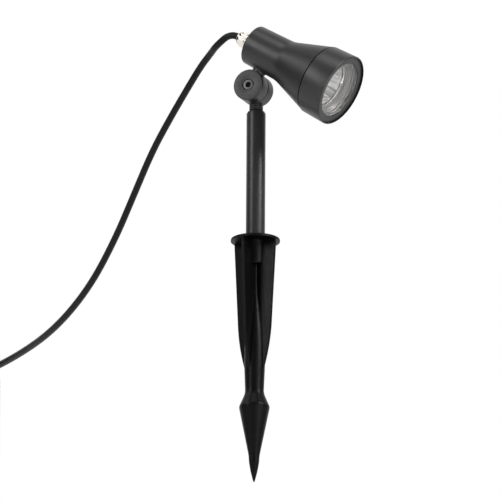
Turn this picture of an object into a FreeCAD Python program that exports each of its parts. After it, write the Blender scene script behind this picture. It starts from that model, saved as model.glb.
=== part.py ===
"""Garden spike spotlight: a plastic ground spike, an aluminium pole, a two-disc knuckle and a
tilting reflector-lamp head fed by a rubber flex. Millimetres, +Z up, the head aims along +X.
The origin is the centre of the spike flange's underside, which is the level of the ground."""

import FreeCAD
import Part
import math
import os

Vec = FreeCAD.Vector

# fits, and the steps in which round outlines are turned
seat_gap = 0.05          # between flat faces of pieces that turn or slide past each other
thread_gap = 0.05        # radial, in every screwed or turning fit
screw_gap = 0.001        # radial, where a screw is tight in its thread
slip_gap = 0.3           # radial, between curved faces that only pass each other
hole_gap = 0.2           # radial, round a shank in a plain hole
head_gap = 0.1           # radial, round a screw's head in its recess
past = 1.0               # how far a cutting tool runs past the face that it cuts
round_steps = 2          # chords in a small rounding
bowl_steps = 3           # chords in a bowl or a dome

# ground spike
flange_r = 23.2
flange_t = 2.6
flange_round = 0.8
fin_count = 4
fin_t = 2.6
fin_top_r = 22.9
fin_bend_r = 18.6        # where the straight edge ends and the fin starts to curve in
fin_bend_z = -76.0
fin_mid_r = 15.2
fin_mid_z = -105.0
fin_low_r = 9.7
fin_low_z = -126.0
fin_turn = -11.0         # degrees, first fin from +X
core_top_r = 3.0
core_top_z = -48.0
core_swell_r = 9.4
core_swell_z = -92.0
core_full_r = 9.9
core_full_z = -118.0
core_waist_r = 8.7
core_waist_z = -148.0
barb_r = 14.3
barb_z = -161.8
barb_edge = 1.6          # height of the barb's blunt edge
point_r = 5.1
point_z = -209.0
tip_r = 0.7
tip_z = -234.3
socket_r = 8.8
socket_len = 22.3
socket_chamfer = 1.4
socket_bore_len = 18.5

# pole
pole_r = 9.0
pole_wall = 1.5
pole_top = 126.2
pole_chamfer = 0.8
foot_stud_r = 6.0
foot_stud_len = 17.5
foot_plug_len = 20.0
insert_len = 22.0
insert_collar_r = 8.1
insert_collar_t = 1.3

# pan stem and its lock ring
stem_thread_r = 5.0
stem_reach = 16.0        # how far the stem's thread goes down inside the pole
oring_r = 5.9
oring_t = 1.5
lock_ring_r = 6.5
lock_ring_t = 3.8
lock_ring_chamfer = 0.4
thrust_washer_r = 5.9
thrust_washer_t = 0.6
stem_neck_r = 6.5
stem_neck_len = 0.55     # from the thrust washer to the rim of the disc

# knuckle
knuckle_r = 15.0
knuckle_t = 13.4         # each half
knuckle_chamfer = 0.7
friction_washer_t = 0.35
friction_washer_r = 13.5
clamp_r = 3.0
clamp_head_r = 5.1
clamp_head_t = 6.0
clamp_head_chamfer = 0.5
clamp_hex = 5.0
clamp_hex_depth = 3.0
clamp_recess_gap = 0.4
spring_washer_r = 5.0
spring_washer_t = 1.4
clamp_nut_flats = 10.0
clamp_nut_t = 5.0
nut_pocket_gap = 0.15
head_boss_r = 6.5        # boss that joins the head's disc to the housing

# head, measured along its axis from the back face
aim_down = 31.5          # degrees below the horizon
head_clear = 1.8         # between the neck and the rims of the knuckle's discs
knuckle_u = 19.5
back_r = 19.2
back_round = 1.6
back_wall = 3.0
neck_wall = 2.4
neck_flare = 0.9         # radius gained along the neck
neck_end_u = 36.0
cone_foot_u = 38.6       # where the cone's line meets the neck's radius
cone_start_u = 41.5
blend_sag = 0.22         # depth of the hollow between neck and cone
cone_end_u = 78.8
cone_end_r = 33.25
cone_wall = 2.8
spigot_r = 31.0
spigot_bore_r = 27.6
seam_t = 1.2
seam_inset = 0.7         # the ring's edge lies this far below the skin

# bezel, front glass and its gasket
bezel_rear_r = 33.9
bezel_front_r = 34.9
bezel_edge = 0.8
lip_cover = 2.4          # how far the lip reaches over the glass
lip_t = 2.5
lip_bevel = 0.6
gasket_t = 0.8
gasket_inset = 0.3       # the gasket's edge hides this far behind the lip's
glass_r = 29.4
glass_t = 4.0
glass_bevel = 0.5
glass_play = 0.15        # between the spigot's end and the gasket

# lamp
ring_step = 0.4          # the bright ring's front edge lies this far inside the lip's
ring_flare = 2.2
ring_len = 5.75
lamp_rim_r = 25.0
lamp_rim_t = 4.0
lamp_bowl_r = 24.0
lamp_bowl_back_r = 15.2
lamp_bowl_len = 25.6
bowl_bulge = 1.4         # how far the bowl's middle stands out of a plain cone
lamp_shell = 1.4
bowl_thin = 0.4          # the bowl is thicker in its middle by this much
lamp_lens_t = 1.4
lens_recess = 0.8
lens_edge = 1.6          # width of the rim round the lens
lens_seat = 1.0
lamp_base_r = 14.6
lamp_base_back_r = 13.6
lamp_base_len = 18.0
lamp_base_flare = 3.0
lamp_base_chamfer = 0.6
capsule_r = 4.2
capsule_len = 15.0
capsule_gap = 0.5
pin_pitch = 10.0
pin_neck_r = 1.6
pin_head_r = 2.4
pin_head_t = 2.4
pin_play = 0.3           # between a pin's head and the holder's face
pin_twist = 25.0         # degrees from locked to free

# lampholder and what carries it
holder_gap = 0.1
holder_r = 13.2
holder_flat = 10.7       # half the width across its two flats
holder_len = 20.0
holder_face_t = 3.0
cavity_r = 8.0
cavity_post_r = 1.6
cavity_len = 8.6
slot_gap = 0.35
contact_half = 2.2       # half the width of a contact
contact_gap = 0.1
contact_span = 70.0      # degrees
strap_back_u = 26.4
strap_t = 1.0
strap_w = 12.0
strap_edge_gap = 0.4
strap_narrow = 1.0       # how much narrower the strap is than its pads
pad_len = 14.4
pad_depth = 4.8          # how far a pad stands in from the neck's bore
pad_root = 0.8           # how far a pad goes into the wall
pad_w = 9.0
pad_screw_in = 0.2       # the pads' screws stand this far in from the pads' middle
pad_screw_head_r = 2.2
m3_r = 1.5
m3_head_r = 2.6
m3_head_t = 1.8
m3_head_down = 0.2       # the holder's screws lie this far below its face
m3_len = 7.0
m3_end_gap = 0.5
m3_slot_w = 0.7
m3_slot_depth = 0.8
holder_screw_h = 10.0
block_w = 16.0
block_h = 10.0
block_len = 14.0
block_groove_w = 1.2
block_groove_depth = 2.0
block_screw_r = 1.4
block_screw_head_r = 2.4
block_screw_head_t = 1.4
wire_screw_r = 1.7
wire_screw_t = 1.2
wire_slot_w = 0.5
wire_slot_depth = 0.6
wire_pitch = 8.0
wire_rows = (0.28, 0.72)  # shares of the block's length

# knuckle bolt, and the earth screw opposite it
bolt_r = 3.0
bolt_head_r = 5.0
bolt_head_t = 3.6
bolt_hex_depth = 2.0
bolt_len = 11.5
bolt_end_gap = 0.5
bolt_flat_depth = 0.1
bolt_flat_gap = 0.6
bolt_washer_r = 5.3
bolt_washer_t = 1.2
earth_r = 2.0
earth_screw_in = 1.2     # the earth screw goes this far into the wall behind its boss
earth_end_gap = 0.4
earth_head_r = 3.6
earth_head_t = 2.2
earth_slot_w = 0.9
earth_slot_depth = 1.2
earth_tag_r = 4.0
earth_tag_t = 0.8
earth_tongue_w = 2.4
earth_barrel_back = 6.9  # from the screw to the barrel
earth_barrel_r = 1.5
earth_barrel_len = 2.6
earth_boss_r = 4.4
earth_boss_h = 2.2       # how far the boss stands in from the wall

# cable gland
gland_turn = 15.0        # degrees
gland_thread_r = 6.0
gland_thread_past = 0.8
gland_flats = 14.0
gland_corner = 0.5       # how far the hexagons' corners are turned off
gland_oring_t = 1.0
gland_oring_r = 7.4
gland_hex_t = 5.0
gland_neck_r = 6.2
gland_neck_len = 3.4
gland_bore_r = 4.7
gland_nut_gap = 0.6
gland_nut_hex_t = 5.6
gland_dome_len = 5.2
gland_dome_step = 0.1
gland_mouth_gap = 0.35
gland_mouth_wall = 1.0
gland_locknut_t = 3.0
gland_locknut_flats = 15.0
seal_seat = 1.0
seal_end_in = 2.4        # from the mouth to the seal's end
seal_tip = 0.4
seal_gap = 0.1

# flex
cable_r = 3.25
core_r = 1.05
sheath_in = 1.0          # how far the sheath goes into the housing
supply_side = 1.4
supply_drop = 0.8
earth_core_h = 1.6
core_straight = 2.2
block_entry_drop = 2.4
earth_bend_u = (4.4, 4.8)  # where the earth core turns up and levels out, from the sheath's end
lead_side_gap = 0.4
lead_over_block = 1.6
lead_low = 0.9
lead_turn_in = 6.0
lead_overhang = 4.4
lead_lean = 0.2
wire_sides = 6
flex_sides = 8
run_share = 0.45
first_run = 9.4
route = [                # corners after the first run, on the way to the coil, chosen by hand
    (-28.6, -8.9, 205.4),
    (-39.0, 3.8, 199.9),
    (-55.9, 15.2, 190.5),
    (-75.3, 28.3, 176.3),
    (-100.5, 47.8, 155.3),
    (-131.2, 73.3, 129.7),
    (-163.1, 104.1, 99.4),
    (-196.8, 138.8, 67.0),
    (-238.8, 179.4, 35.4),
    (-291.9, 226.1, 12.0),
    (-361.7, 287.0, 3.25),
]
coil_start = (-426.8, 337.8)
coil_out_r = 45.0
coil_gap = 0.55
coil_halves_in = 4       # half turns of the lower layer
coil_halves_out = 3      # half turns of the upper layer
end_core_len = 38.0
end_core_places = ((-1.3, -0.75), (1.3, -0.75), (0.0, 1.5))
ferrule_len = 8.0
ferrule_r = 0.975

# places that follow from the sizes, up the pole
oring_z = pole_top + insert_collar_t
ring_z = oring_z + oring_t + seat_gap
washer_z = ring_z + lock_ring_t
neck_z = washer_z + thrust_washer_t
knuckle_z = neck_z + stem_neck_len + knuckle_r
half_y = knuckle_t / 2
head_y = -(knuckle_t + friction_washer_t + seat_gap)
clamp_front_y = head_y - half_y
clamp_seat_y = clamp_front_y + clamp_head_t

# and along the head, from the lampholder to the bezel
head_rise = knuckle_r + back_r + head_clear
neck_bore_r = back_r - neck_wall
neck_end_r = back_r + neck_flare
cone_slope = (cone_end_r - neck_end_r) / (cone_end_u - cone_foot_u)
bolt_seat_h = -neck_bore_r - bolt_flat_depth
holder_back_u = strap_back_u + strap_t
holder_front_u = holder_back_u + holder_len
cavity_front_u = holder_front_u - holder_face_t
lamp_base_u = holder_front_u + holder_gap
lamp_bowl_u = lamp_base_u + lamp_base_len
lamp_face_u = lamp_bowl_u + lamp_bowl_len
lens_back_u = lamp_face_u - lens_recess - lamp_lens_t
lens_r = lamp_rim_r - lens_edge
spigot_end_u = lamp_face_u + seat_gap + ring_len
gasket_back_u = spigot_end_u + glass_play
glass_back_u = gasket_back_u + gasket_t
glass_front_u = glass_back_u + glass_t
lip_u = glass_front_u + gasket_t + seat_gap
bezel_front_u = lip_u + lip_t
bezel_rear_u = cone_end_u + seam_t + seat_gap
lip_r = glass_r - lip_cover
ring_front_r = lip_r - ring_step
ring_rear_r = ring_front_r - ring_flare
block_back_u = strap_back_u - block_len
pad_inner = neck_bore_r - pad_depth
pad_screw_y = neck_bore_r - pad_depth / 2 - pad_screw_in
earth_face_h = neck_bore_r - earth_boss_h
earth_tag_h = earth_face_h - earth_tag_t
earth_wire_h = earth_tag_h - core_r
earth_barrel_u = knuckle_u - earth_barrel_back
sheath_end_u = back_wall + sheath_in
gland_hex_u = -gland_oring_t - gland_hex_t
gland_neck_u = gland_hex_u - gland_neck_len
gland_nut_u = gland_hex_u - gland_nut_gap
gland_dome_u = gland_nut_u - gland_nut_hex_t
gland_mouth_u = gland_dome_u - gland_dome_len
gland_end_u = back_wall + gland_locknut_t + gland_thread_past
gland_mouth_r = cable_r + gland_mouth_gap
seal_start_u = gland_hex_u + seal_seat
seal_end_u = gland_mouth_u + seal_end_in


def save(shape, name):
    shape.exportStep("parts/" + name + ".step")


def along_x(radius, start, end):
    return Part.makeCylinder(radius, end - start, Vec(start, 0, 0), Vec(1, 0, 0))


def along_y(radius, start, end):
    return Part.makeCylinder(radius, end - start, Vec(0, start, 0), Vec(0, 1, 0))


def along_z(radius, start, end, u=0.0):
    return Part.makeCylinder(radius, end - start, Vec(u, 0, start), Vec(0, 0, 1))


def tube_x(outer, inner, start, end):
    return along_x(outer, start, end).cut(along_x(inner, start - past, end + past))


def tube_y(outer, inner, start, end):
    return along_y(outer, start, end).cut(along_y(inner, start - past, end + past))


def tube_z(outer, inner, start, end):
    return along_z(outer, start, end).cut(along_z(inner, start - past, end + past))


def polygon(points):
    return Part.Face(Part.makePolygon(points + points[:1]))


def turned_x(outline):
    """A turned piece: outline is (distance along X, radius) points of half its section."""
    section = polygon([Vec(u, r, 0) for u, r in outline])
    return section.revolve(Vec(0, 0, 0), Vec(1, 0, 0), 360)


def turned_z(outline):
    """A turned piece round Z, from (radius, height) points."""
    section = polygon([Vec(r, 0, z) for r, z in outline])
    return section.revolve(Vec(0, 0, 0), Vec(0, 0, 1), 360)


def arc_through(start, middle, end, steps):
    """Points of an outline along the arc through three of them, in even chords."""
    arc = Part.Arc(Vec(*start, 0), Vec(*middle, 0), Vec(*end, 0)).toShape()
    return [(p.x, p.y) for p in arc.discretize(Number=steps + 1)]


def rounded_corner(centre, radius, start_angle, end_angle, steps=round_steps):
    """Points of an outline round a corner's centre, in even chords."""
    points = []
    for k in range(steps + 1):
        a = math.radians(start_angle + (end_angle - start_angle) * k / steps)
        points.append((centre[0] + radius * math.cos(a), centre[1] + radius * math.sin(a)))
    return points


def hex_x(flats, start, end, turn=0.0):
    """A hexagonal bar along X, flats apart, from start to end."""
    reach = flats / 2 / math.cos(math.pi / 6)
    corners = []
    for k in range(6):
        a = math.radians(60 * k + turn)
        corners.append(Vec(start, reach * math.cos(a), reach * math.sin(a)))
    return polygon(corners).extrude(Vec(end - start, 0, 0))


def hex_y(flats, start, end):
    bar = hex_x(flats, start, end)
    bar.rotate(Vec(0, 0, 0), Vec(0, 0, 1), 90)
    return bar


def moved(shape, u=0.0, y=0.0, h=0.0):
    copy = shape.copy()
    copy.translate(Vec(u, y, h))
    return copy


def cut_all(body, tools):
    for tool in tools:
        body = body.cut(tool)
    return body.removeSplitter()


def in_head(shape):
    """Moves a piece from the head's own axes, back face at the origin, to its place."""
    place = FreeCAD.Placement(Vec(0, head_y, knuckle_z), FreeCAD.Rotation(Vec(0, 1, 0), aim_down))
    piece = moved(shape, -knuckle_u, 0, head_rise)
    piece.Placement = place.multiply(piece.Placement)
    return piece


def at_knuckle(shape):
    """Moves a piece made round the world's Y axis up to the tilt axis."""
    return moved(shape, h=knuckle_z)


def arc_in_corner(before, corner, after):
    """The tangent arc that rounds one corner of a route, with its radius."""
    back = before - corner
    on = after - corner
    trim = run_share * min(back.Length, on.Length)
    back.normalize()
    on.normalize()
    turn = math.pi - back.getAngle(on)
    radius = trim / math.tan(turn / 2)
    start = corner + back * trim
    end = corner + on * trim
    inward = (back + on).normalize()
    centre = corner + inward * (radius / math.cos(turn / 2))
    middle = centre - inward * radius
    return start, middle, end, radius


def rounded_path(points):
    """Straight runs joined by tangent arcs, with the arcs' radii."""
    edges = []
    radii = []
    here = points[0]
    for before, corner, after in zip(points, points[1:], points[2:]):
        start, middle, end, radius = arc_in_corner(before, corner, after)
        edges.append(Part.LineSegment(here, start).toShape())
        edges.append(Part.Arc(start, middle, end).toShape())
        radii.append(radius)
        here = end
    edges.append(Part.LineSegment(here, points[-1]).toShape())
    return Part.Wire(edges), radii


def tube_along(path, radius, start, heading, sides):
    """A tube with flat sides, one of them underneath, along a path that starts at start."""
    across = heading.cross(Vec(0, 0, 1)).normalize()
    over = across.cross(heading).normalize()
    ring = []
    for k in range(sides):
        a = 2 * math.pi * (k + 0.5) / sides + math.pi / 2
        ring.append(start + across * (radius * math.cos(a)) + over * (radius * math.sin(a)))
    section = Part.makePolygon(ring + ring[:1])
    return path.makePipeShell([section], True, False), Part.Face(section).Area


def wire_lead(points):
    corners = [Vec(*p) for p in points]
    path = rounded_path(corners)[0]
    return tube_along(path, core_r, corners[0], corners[1] - corners[0], wire_sides)[0]


def screw_x(radius, start, seat, head_r, end):
    """A screw along X: shank from start to seat, head from seat to end."""
    return along_x(radius, start, seat).fuse(along_x(head_r, seat, end))


def fin():
    top = Vec(fin_top_r, 0, 0)
    bend = Vec(fin_bend_r, 0, fin_bend_z)
    low = Vec(fin_low_r, 0, fin_low_z)
    root = Vec(0, 0, fin_low_z)
    edges = [
        Part.LineSegment(Vec(0, 0, 0), top).toShape(),
        Part.LineSegment(top, bend).toShape(),
        Part.Arc(bend, Vec(fin_mid_r, 0, fin_mid_z), low).toShape(),
        Part.LineSegment(low, root).toShape(),
        Part.LineSegment(root, Vec(0, 0, 0)).toShape(),
    ]
    plate = Part.Face(Part.Wire(edges)).extrude(Vec(0, fin_t, 0))
    return moved(plate, y=-fin_t / 2)


def spike_core():
    """The round stem between the fins, which swells, narrows and ends in the barbed point."""
    return turned_z([
        (0, 0),
        (core_top_r, 0),
        (core_top_r, core_top_z),
        (core_swell_r, core_swell_z),
        (core_full_r, core_full_z),
        (core_waist_r, core_waist_z),
        (barb_r, barb_z + barb_edge / 2),
        (barb_r, barb_z - barb_edge / 2),
        (point_r, point_z),
        (tip_r, tip_z),
        (0, tip_z),
    ])


def ground_spike():
    """Flange and socket in one turned form, the core below it, and the fins round both."""
    round_centre = (flange_r - flange_round, flange_t - flange_round)
    top = turned_z([(0, flange_t)] + rounded_corner(round_centre, flange_round, 90, 0) + [
        (flange_r, 0),
        (socket_r, 0),
        (socket_r, socket_chamfer - socket_len),
        (socket_r - socket_chamfer, -socket_len),
        (0, -socket_len),
    ])
    body = top.fuse(spike_core())
    for k in range(fin_count):
        plate = fin()
        plate.rotate(Vec(0, 0, 0), Vec(0, 0, 1), fin_turn + k * 360.0 / fin_count)
        body = body.fuse(plate)
    bore = along_z(foot_stud_r + thread_gap, -socket_bore_len, flange_t + past)
    return body.cut(bore).removeSplitter()


def pole():
    inner = pole_r - pole_wall
    return turned_z([
        (inner, flange_t),
        (pole_r, flange_t),
        (pole_r, pole_top - pole_chamfer),
        (pole_r - pole_chamfer, pole_top),
        (inner, pole_top),
    ])


def pole_foot_plug():
    """Plug in the pole's foot, with the stud that screws into the spike's socket."""
    inner = pole_r - pole_wall
    return turned_z([
        (0, flange_t + foot_plug_len),
        (inner, flange_t + foot_plug_len),
        (inner, flange_t),
        (foot_stud_r, flange_t),
        (foot_stud_r, flange_t - foot_stud_len),
        (0, flange_t - foot_stud_len),
    ])


def pole_top_insert():
    """Threaded bush in the pole's top, its collar on the rim."""
    inner = pole_r - pole_wall
    bore = stem_thread_r + thread_gap
    return turned_z([
        (bore, pole_top - insert_len),
        (inner, pole_top - insert_len),
        (inner, pole_top),
        (insert_collar_r, pole_top),
        (insert_collar_r, pole_top + insert_collar_t),
        (bore, pole_top + insert_collar_t),
    ])


def stem_oring():
    return tube_z(oring_r, stem_thread_r + slip_gap, oring_z, oring_z + oring_t)


def lock_ring():
    bore = stem_thread_r + thread_gap
    c = lock_ring_chamfer
    return turned_z([
        (bore, ring_z),
        (lock_ring_r - c, ring_z),
        (lock_ring_r, ring_z + c),
        (lock_ring_r, washer_z - c),
        (lock_ring_r - c, washer_z),
        (bore, washer_z),
    ])


def thrust_washer():
    return tube_z(thrust_washer_r, stem_thread_r + thread_gap, washer_z, neck_z)


def chamfered_disc():
    """One half of the knuckle, round the world's Y axis, with both rims chamfered."""
    plain = along_y(knuckle_r, -half_y, half_y)
    rims = [e for e in plain.Edges if e.Closed]
    return plain.makeChamfer(knuckle_chamfer, rims)


def lower_knuckle():
    """The pole's half: disc, neck and threaded stem, with the nut's pocket behind."""
    plate = at_knuckle(chamfered_disc())
    neck = along_z(stem_neck_r, neck_z, knuckle_z)
    thread = along_z(stem_thread_r, pole_top - stem_reach, neck_z)
    bore = along_y(clamp_r + thread_gap, -half_y - past, half_y + past)
    pocket = hex_y(clamp_nut_flats + 2 * nut_pocket_gap, half_y - clamp_nut_t, half_y + past)
    return cut_all(plate.fuse([neck, thread]), [at_knuckle(bore), at_knuckle(pocket)])


def friction_washer():
    start = -half_y - friction_washer_t
    return at_knuckle(tube_y(friction_washer_r, clamp_r + thread_gap, start, -half_y))


def clamp_screw():
    """Socket-head screw, its head flush with the front disc, its end level with the nut."""
    head = along_y(clamp_head_r, clamp_front_y, clamp_seat_y)
    front_rim = [e for e in head.Edges if e.Closed and e.BoundBox.YMax < clamp_front_y + seat_gap]
    head = head.makeChamfer(clamp_head_chamfer, front_rim)
    shank = along_y(clamp_r, clamp_seat_y, half_y)
    key = hex_y(clamp_hex, clamp_front_y - past, clamp_front_y + clamp_hex_depth)
    return at_knuckle(cut_all(head.fuse(shank), [key]))


def spring_washer():
    end = clamp_seat_y + spring_washer_t
    return at_knuckle(tube_y(spring_washer_r, clamp_r + thread_gap, clamp_seat_y, end))


def clamp_nut():
    nut = hex_y(clamp_nut_flats, half_y - clamp_nut_t, half_y)
    return at_knuckle(nut.cut(along_y(clamp_r + screw_gap, -half_y, half_y + past)))


def upper_knuckle():
    """The head's half of the knuckle, in the head's axes, its boss shaped to the neck."""
    plate = moved(chamfered_disc(), knuckle_u, 0, -head_rise)
    boss = along_z(head_boss_r, -head_rise, 0, knuckle_u)
    recess_end = -half_y + clamp_head_t + spring_washer_t + seat_gap
    recess = along_y(clamp_head_r + clamp_recess_gap, -half_y - past, recess_end)
    bore = along_y(clamp_r + thread_gap, -half_y - past, half_y + past)
    holes = moved(recess.fuse(bore), knuckle_u, 0, -head_rise)
    tapped = along_z(bolt_r + screw_gap, bolt_seat_h - bolt_len, bolt_seat_h, knuckle_u)
    return cut_all(plate.fuse(boss), [housing_outside(), holes, tapped])


def cone_r(u):
    """Outer radius of the cone at u."""
    return neck_end_r + cone_slope * (u - cone_foot_u)


def cone_inner_u(radius):
    """Where the cone's inner skin has this radius."""
    return cone_foot_u + (radius + cone_wall - neck_end_r) / cone_slope


def housing_outside():
    """The skin of the neck and cone, as a solid, with the hollow blend between them."""
    back_centre = (back_round, back_r - back_round)
    neck_end = (neck_end_u, neck_end_r)
    cone_start = (cone_start_u, cone_r(cone_start_u))
    middle = ((neck_end_u + cone_start_u) / 2, (neck_end[1] + cone_start[1]) / 2 - blend_sag)
    outline = [(0, 0)]
    outline += rounded_corner(back_centre, back_round, 180, 90)
    outline += arc_through(neck_end, middle, cone_start, round_steps)
    outline += [(cone_end_u, cone_end_r), (cone_end_u, 0)]
    return turned_x(outline)


def housing_inside():
    return turned_x([
        (back_wall, 0),
        (back_wall, neck_bore_r),
        (cone_inner_u(neck_bore_r), neck_bore_r),
        (cone_inner_u(spigot_bore_r), spigot_bore_r),
        (spigot_end_u + past, spigot_bore_r),
        (spigot_end_u + past, 0),
    ])


def strap_pads():
    """Two pads in the neck's bore that carry the lampholder strap."""
    reach = pad_depth + pad_root
    start = strap_back_u - pad_len
    return [Part.makeBox(pad_len, reach, pad_w, Vec(start, y, -pad_w / 2))
            for y in (pad_inner, -pad_inner - reach)]


def lamp_housing():
    """Neck, cone and spigot in one casting, with the bosses and holes inside."""
    spigot = along_x(spigot_r, cone_end_u - past, spigot_end_u)
    shell = housing_outside().fuse(spigot).cut(housing_inside())
    boss = along_z(earth_boss_r, earth_face_h, neck_bore_r + past, knuckle_u)
    shell = shell.fuse(strap_pads() + [boss])
    bolt_room = bolt_seat_h + bolt_head_t + bolt_washer_t
    earth_end = neck_bore_r + earth_screw_in + earth_end_gap
    cuts = [
        along_z(bolt_head_r + bolt_flat_gap, bolt_seat_h, bolt_room, knuckle_u),
        along_z(bolt_r + hole_gap, -back_r - past, bolt_room, knuckle_u),
        along_z(earth_r + screw_gap, earth_face_h, earth_end, knuckle_u),
        along_x(gland_thread_r + thread_gap, -past, back_wall + past),
    ]
    for y in (-pad_screw_y, pad_screw_y):
        cuts.append(moved(along_x(m3_r + screw_gap, strap_back_u - m3_len, strap_back_u + past), y=y))
    return cut_all(shell, cuts)


def seam_oring():
    return tube_x(cone_end_r - seam_inset, spigot_r, cone_end_u, cone_end_u + seam_t)


def bezel():
    """Threaded ring: it screws over the spigot and its lip holds the glass."""
    bore = spigot_r + slip_gap
    seat = glass_r + gasket_t + slip_gap
    return turned_x([
        (bezel_rear_u, bore),
        (bezel_rear_u, bezel_rear_r - bezel_edge / 2),
        (bezel_rear_u + bezel_edge / 2, bezel_rear_r),
        (bezel_front_u - bezel_edge, bezel_front_r),
        (bezel_front_u, bezel_front_r - bezel_edge),
        (bezel_front_u, lip_r + lip_bevel),
        (bezel_front_u - lip_bevel, lip_r),
        (lip_u, lip_r),
        (lip_u, seat),
        (gasket_back_u - seat_gap, seat),
        (gasket_back_u - seat_gap, bore),
    ])


def front_glass():
    b = glass_bevel
    return turned_x([
        (glass_back_u, 0),
        (glass_back_u, glass_r - b),
        (glass_back_u + b, glass_r),
        (glass_front_u - b, glass_r),
        (glass_front_u, glass_r - b),
        (glass_front_u, 0),
    ])


def glass_gasket():
    """Channel gasket: two lips and a web round the edge of the glass."""
    outer = glass_r + gasket_t
    inner = lip_r + gasket_inset
    b = glass_bevel
    return turned_x([
        (gasket_back_u, inner),
        (gasket_back_u, outer),
        (glass_front_u + gasket_t, outer),
        (glass_front_u + gasket_t, inner),
        (glass_front_u, inner),
        (glass_front_u, glass_r - b),
        (glass_front_u - b, glass_r),
        (glass_back_u + b, glass_r),
        (glass_back_u, glass_r - b),
        (glass_back_u, inner),
    ])


def lamp_ring():
    """Bright conical ring that centres the lamp in the housing and hides its rim."""
    return turned_x([
        (lamp_face_u + seat_gap, ring_rear_r),
        (lamp_face_u + seat_gap, spigot_bore_r),
        (spigot_end_u, spigot_bore_r),
        (spigot_end_u, ring_front_r),
    ])


def lamp_reflector():
    """Reflector bowl with its rim and the lens seat: outside and inside both bulge."""
    rim_u = lamp_face_u - lamp_rim_t
    middle_u = (rim_u + lamp_bowl_u) / 2
    middle_r = (lamp_bowl_r + lamp_bowl_back_r) / 2 + bowl_bulge
    neck_r = capsule_r + capsule_gap
    outside = arc_through((lamp_bowl_u, lamp_bowl_back_r), (middle_u, middle_r),
                          (rim_u, lamp_bowl_r), bowl_steps)
    inside = arc_through((lens_back_u, lens_r - lens_seat),
                         (middle_u, middle_r - lamp_shell - bowl_thin),
                         (lamp_bowl_u + lamp_shell, neck_r), bowl_steps)
    rim = [(rim_u, lamp_rim_r), (lamp_face_u, lamp_rim_r), (lamp_face_u, lens_r),
           (lens_back_u, lens_r)]
    return turned_x([(lamp_bowl_u, neck_r)] + outside + rim + inside)


def lamp_lens():
    return along_x(lens_r, lens_back_u, lens_back_u + lamp_lens_t)


def lamp_capsule():
    dome_u = lamp_bowl_u + capsule_len - capsule_r
    dome = rounded_corner((dome_u, 0), capsule_r, 90, 0, bowl_steps)
    return turned_x([(lamp_bowl_u, 0), (lamp_bowl_u, capsule_r)] + dome)


def lamp_base():
    return turned_x([
        (lamp_base_u, 0),
        (lamp_base_u, lamp_base_back_r - lamp_base_chamfer),
        (lamp_base_u + lamp_base_chamfer, lamp_base_back_r),
        (lamp_bowl_u - lamp_base_flare, lamp_base_r),
        (lamp_bowl_u, lamp_bowl_back_r),
        (lamp_bowl_u, 0),
    ])


def lamp_pins():
    """Two headed pins that pass the holder's face and lock behind it."""
    head_front_u = cavity_front_u - pin_play
    head = along_x(pin_head_r, head_front_u - pin_head_t, head_front_u)
    pin = head.fuse(along_x(pin_neck_r, head_front_u, lamp_base_u)).removeSplitter()
    return Part.makeCompound([moved(pin, y=y) for y in (-pin_pitch / 2, pin_pitch / 2)])


def ring_sector(half_width, start, end, angle, span):
    """Sector of a ring round the head's axis at the pins' radius."""
    outer = pin_pitch / 2 + half_width
    ring = tube_x(outer, pin_pitch / 2 - half_width, start, end)
    far = 3 * outer
    corners = [Vec(start - past, 0, 0)]
    for side in (-0.5, 0.5):
        a = math.radians(angle + side * span)
        corners.append(Vec(start - past, far * math.cos(a), far * math.sin(a)))
    return ring.common(polygon(corners).extrude(Vec(end - start + 2 * past, 0, 0)))


def lamp_holder():
    """Ceramic holder: a face with two keyhole slots, a cavity for the pin heads behind it."""
    flats = Part.makeBox(holder_len, 2 * holder_flat, 2 * holder_r,
                         Vec(holder_back_u, -holder_flat, -holder_r))
    body = along_x(holder_r, holder_back_u, holder_front_u).common(flats)
    slot_half = pin_neck_r + slot_gap
    keyhole = (cavity_front_u - past, holder_front_u + past)
    cuts = [tube_x(cavity_r, cavity_post_r, cavity_front_u - cavity_len, cavity_front_u)]
    for base in (0.0, 180.0):
        cuts.append(ring_sector(slot_half, *keyhole, base + pin_twist / 2, pin_twist))
        for turn, radius in ((0.0, slot_half), (pin_twist, pin_head_r + slot_gap)):
            a = math.radians(base + turn)
            spot = (0, pin_pitch / 2 * math.cos(a), pin_pitch / 2 * math.sin(a))
            cuts.append(moved(along_x(radius, *keyhole), *spot))
    for h in (-holder_screw_h, holder_screw_h):
        cuts.append(moved(along_x(m3_r + screw_gap, holder_back_u - past, holder_front_u), h=h))
        sink = along_x(m3_head_r + head_gap, holder_front_u - m3_head_t, holder_front_u + past)
        cuts.append(moved(sink, h=h))
    return cut_all(body, cuts)


def holder_contacts():
    """Two brass contacts on the cavity's floor, behind the pin heads."""
    floor = cavity_front_u - cavity_len
    top = cavity_front_u - pin_play - pin_head_t - contact_gap
    return Part.makeCompound([ring_sector(contact_half, floor, top, angle + pin_twist / 2, contact_span)
                              for angle in (0.0, 180.0)])


def holder_screws():
    """Two slotted screws that hold the holder to the strap."""
    end = holder_front_u - m3_head_down
    screw = screw_x(m3_r, strap_back_u, holder_front_u - m3_head_t, m3_head_r, end)
    slot = Part.makeBox(m3_slot_depth + past, m3_slot_w, 2 * m3_head_r,
                        Vec(end - m3_slot_depth, -m3_slot_w / 2, -m3_head_r))
    screw = cut_all(screw, [slot])
    return Part.makeCompound([moved(screw, h=h) for h in (-holder_screw_h, holder_screw_h)])


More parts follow.
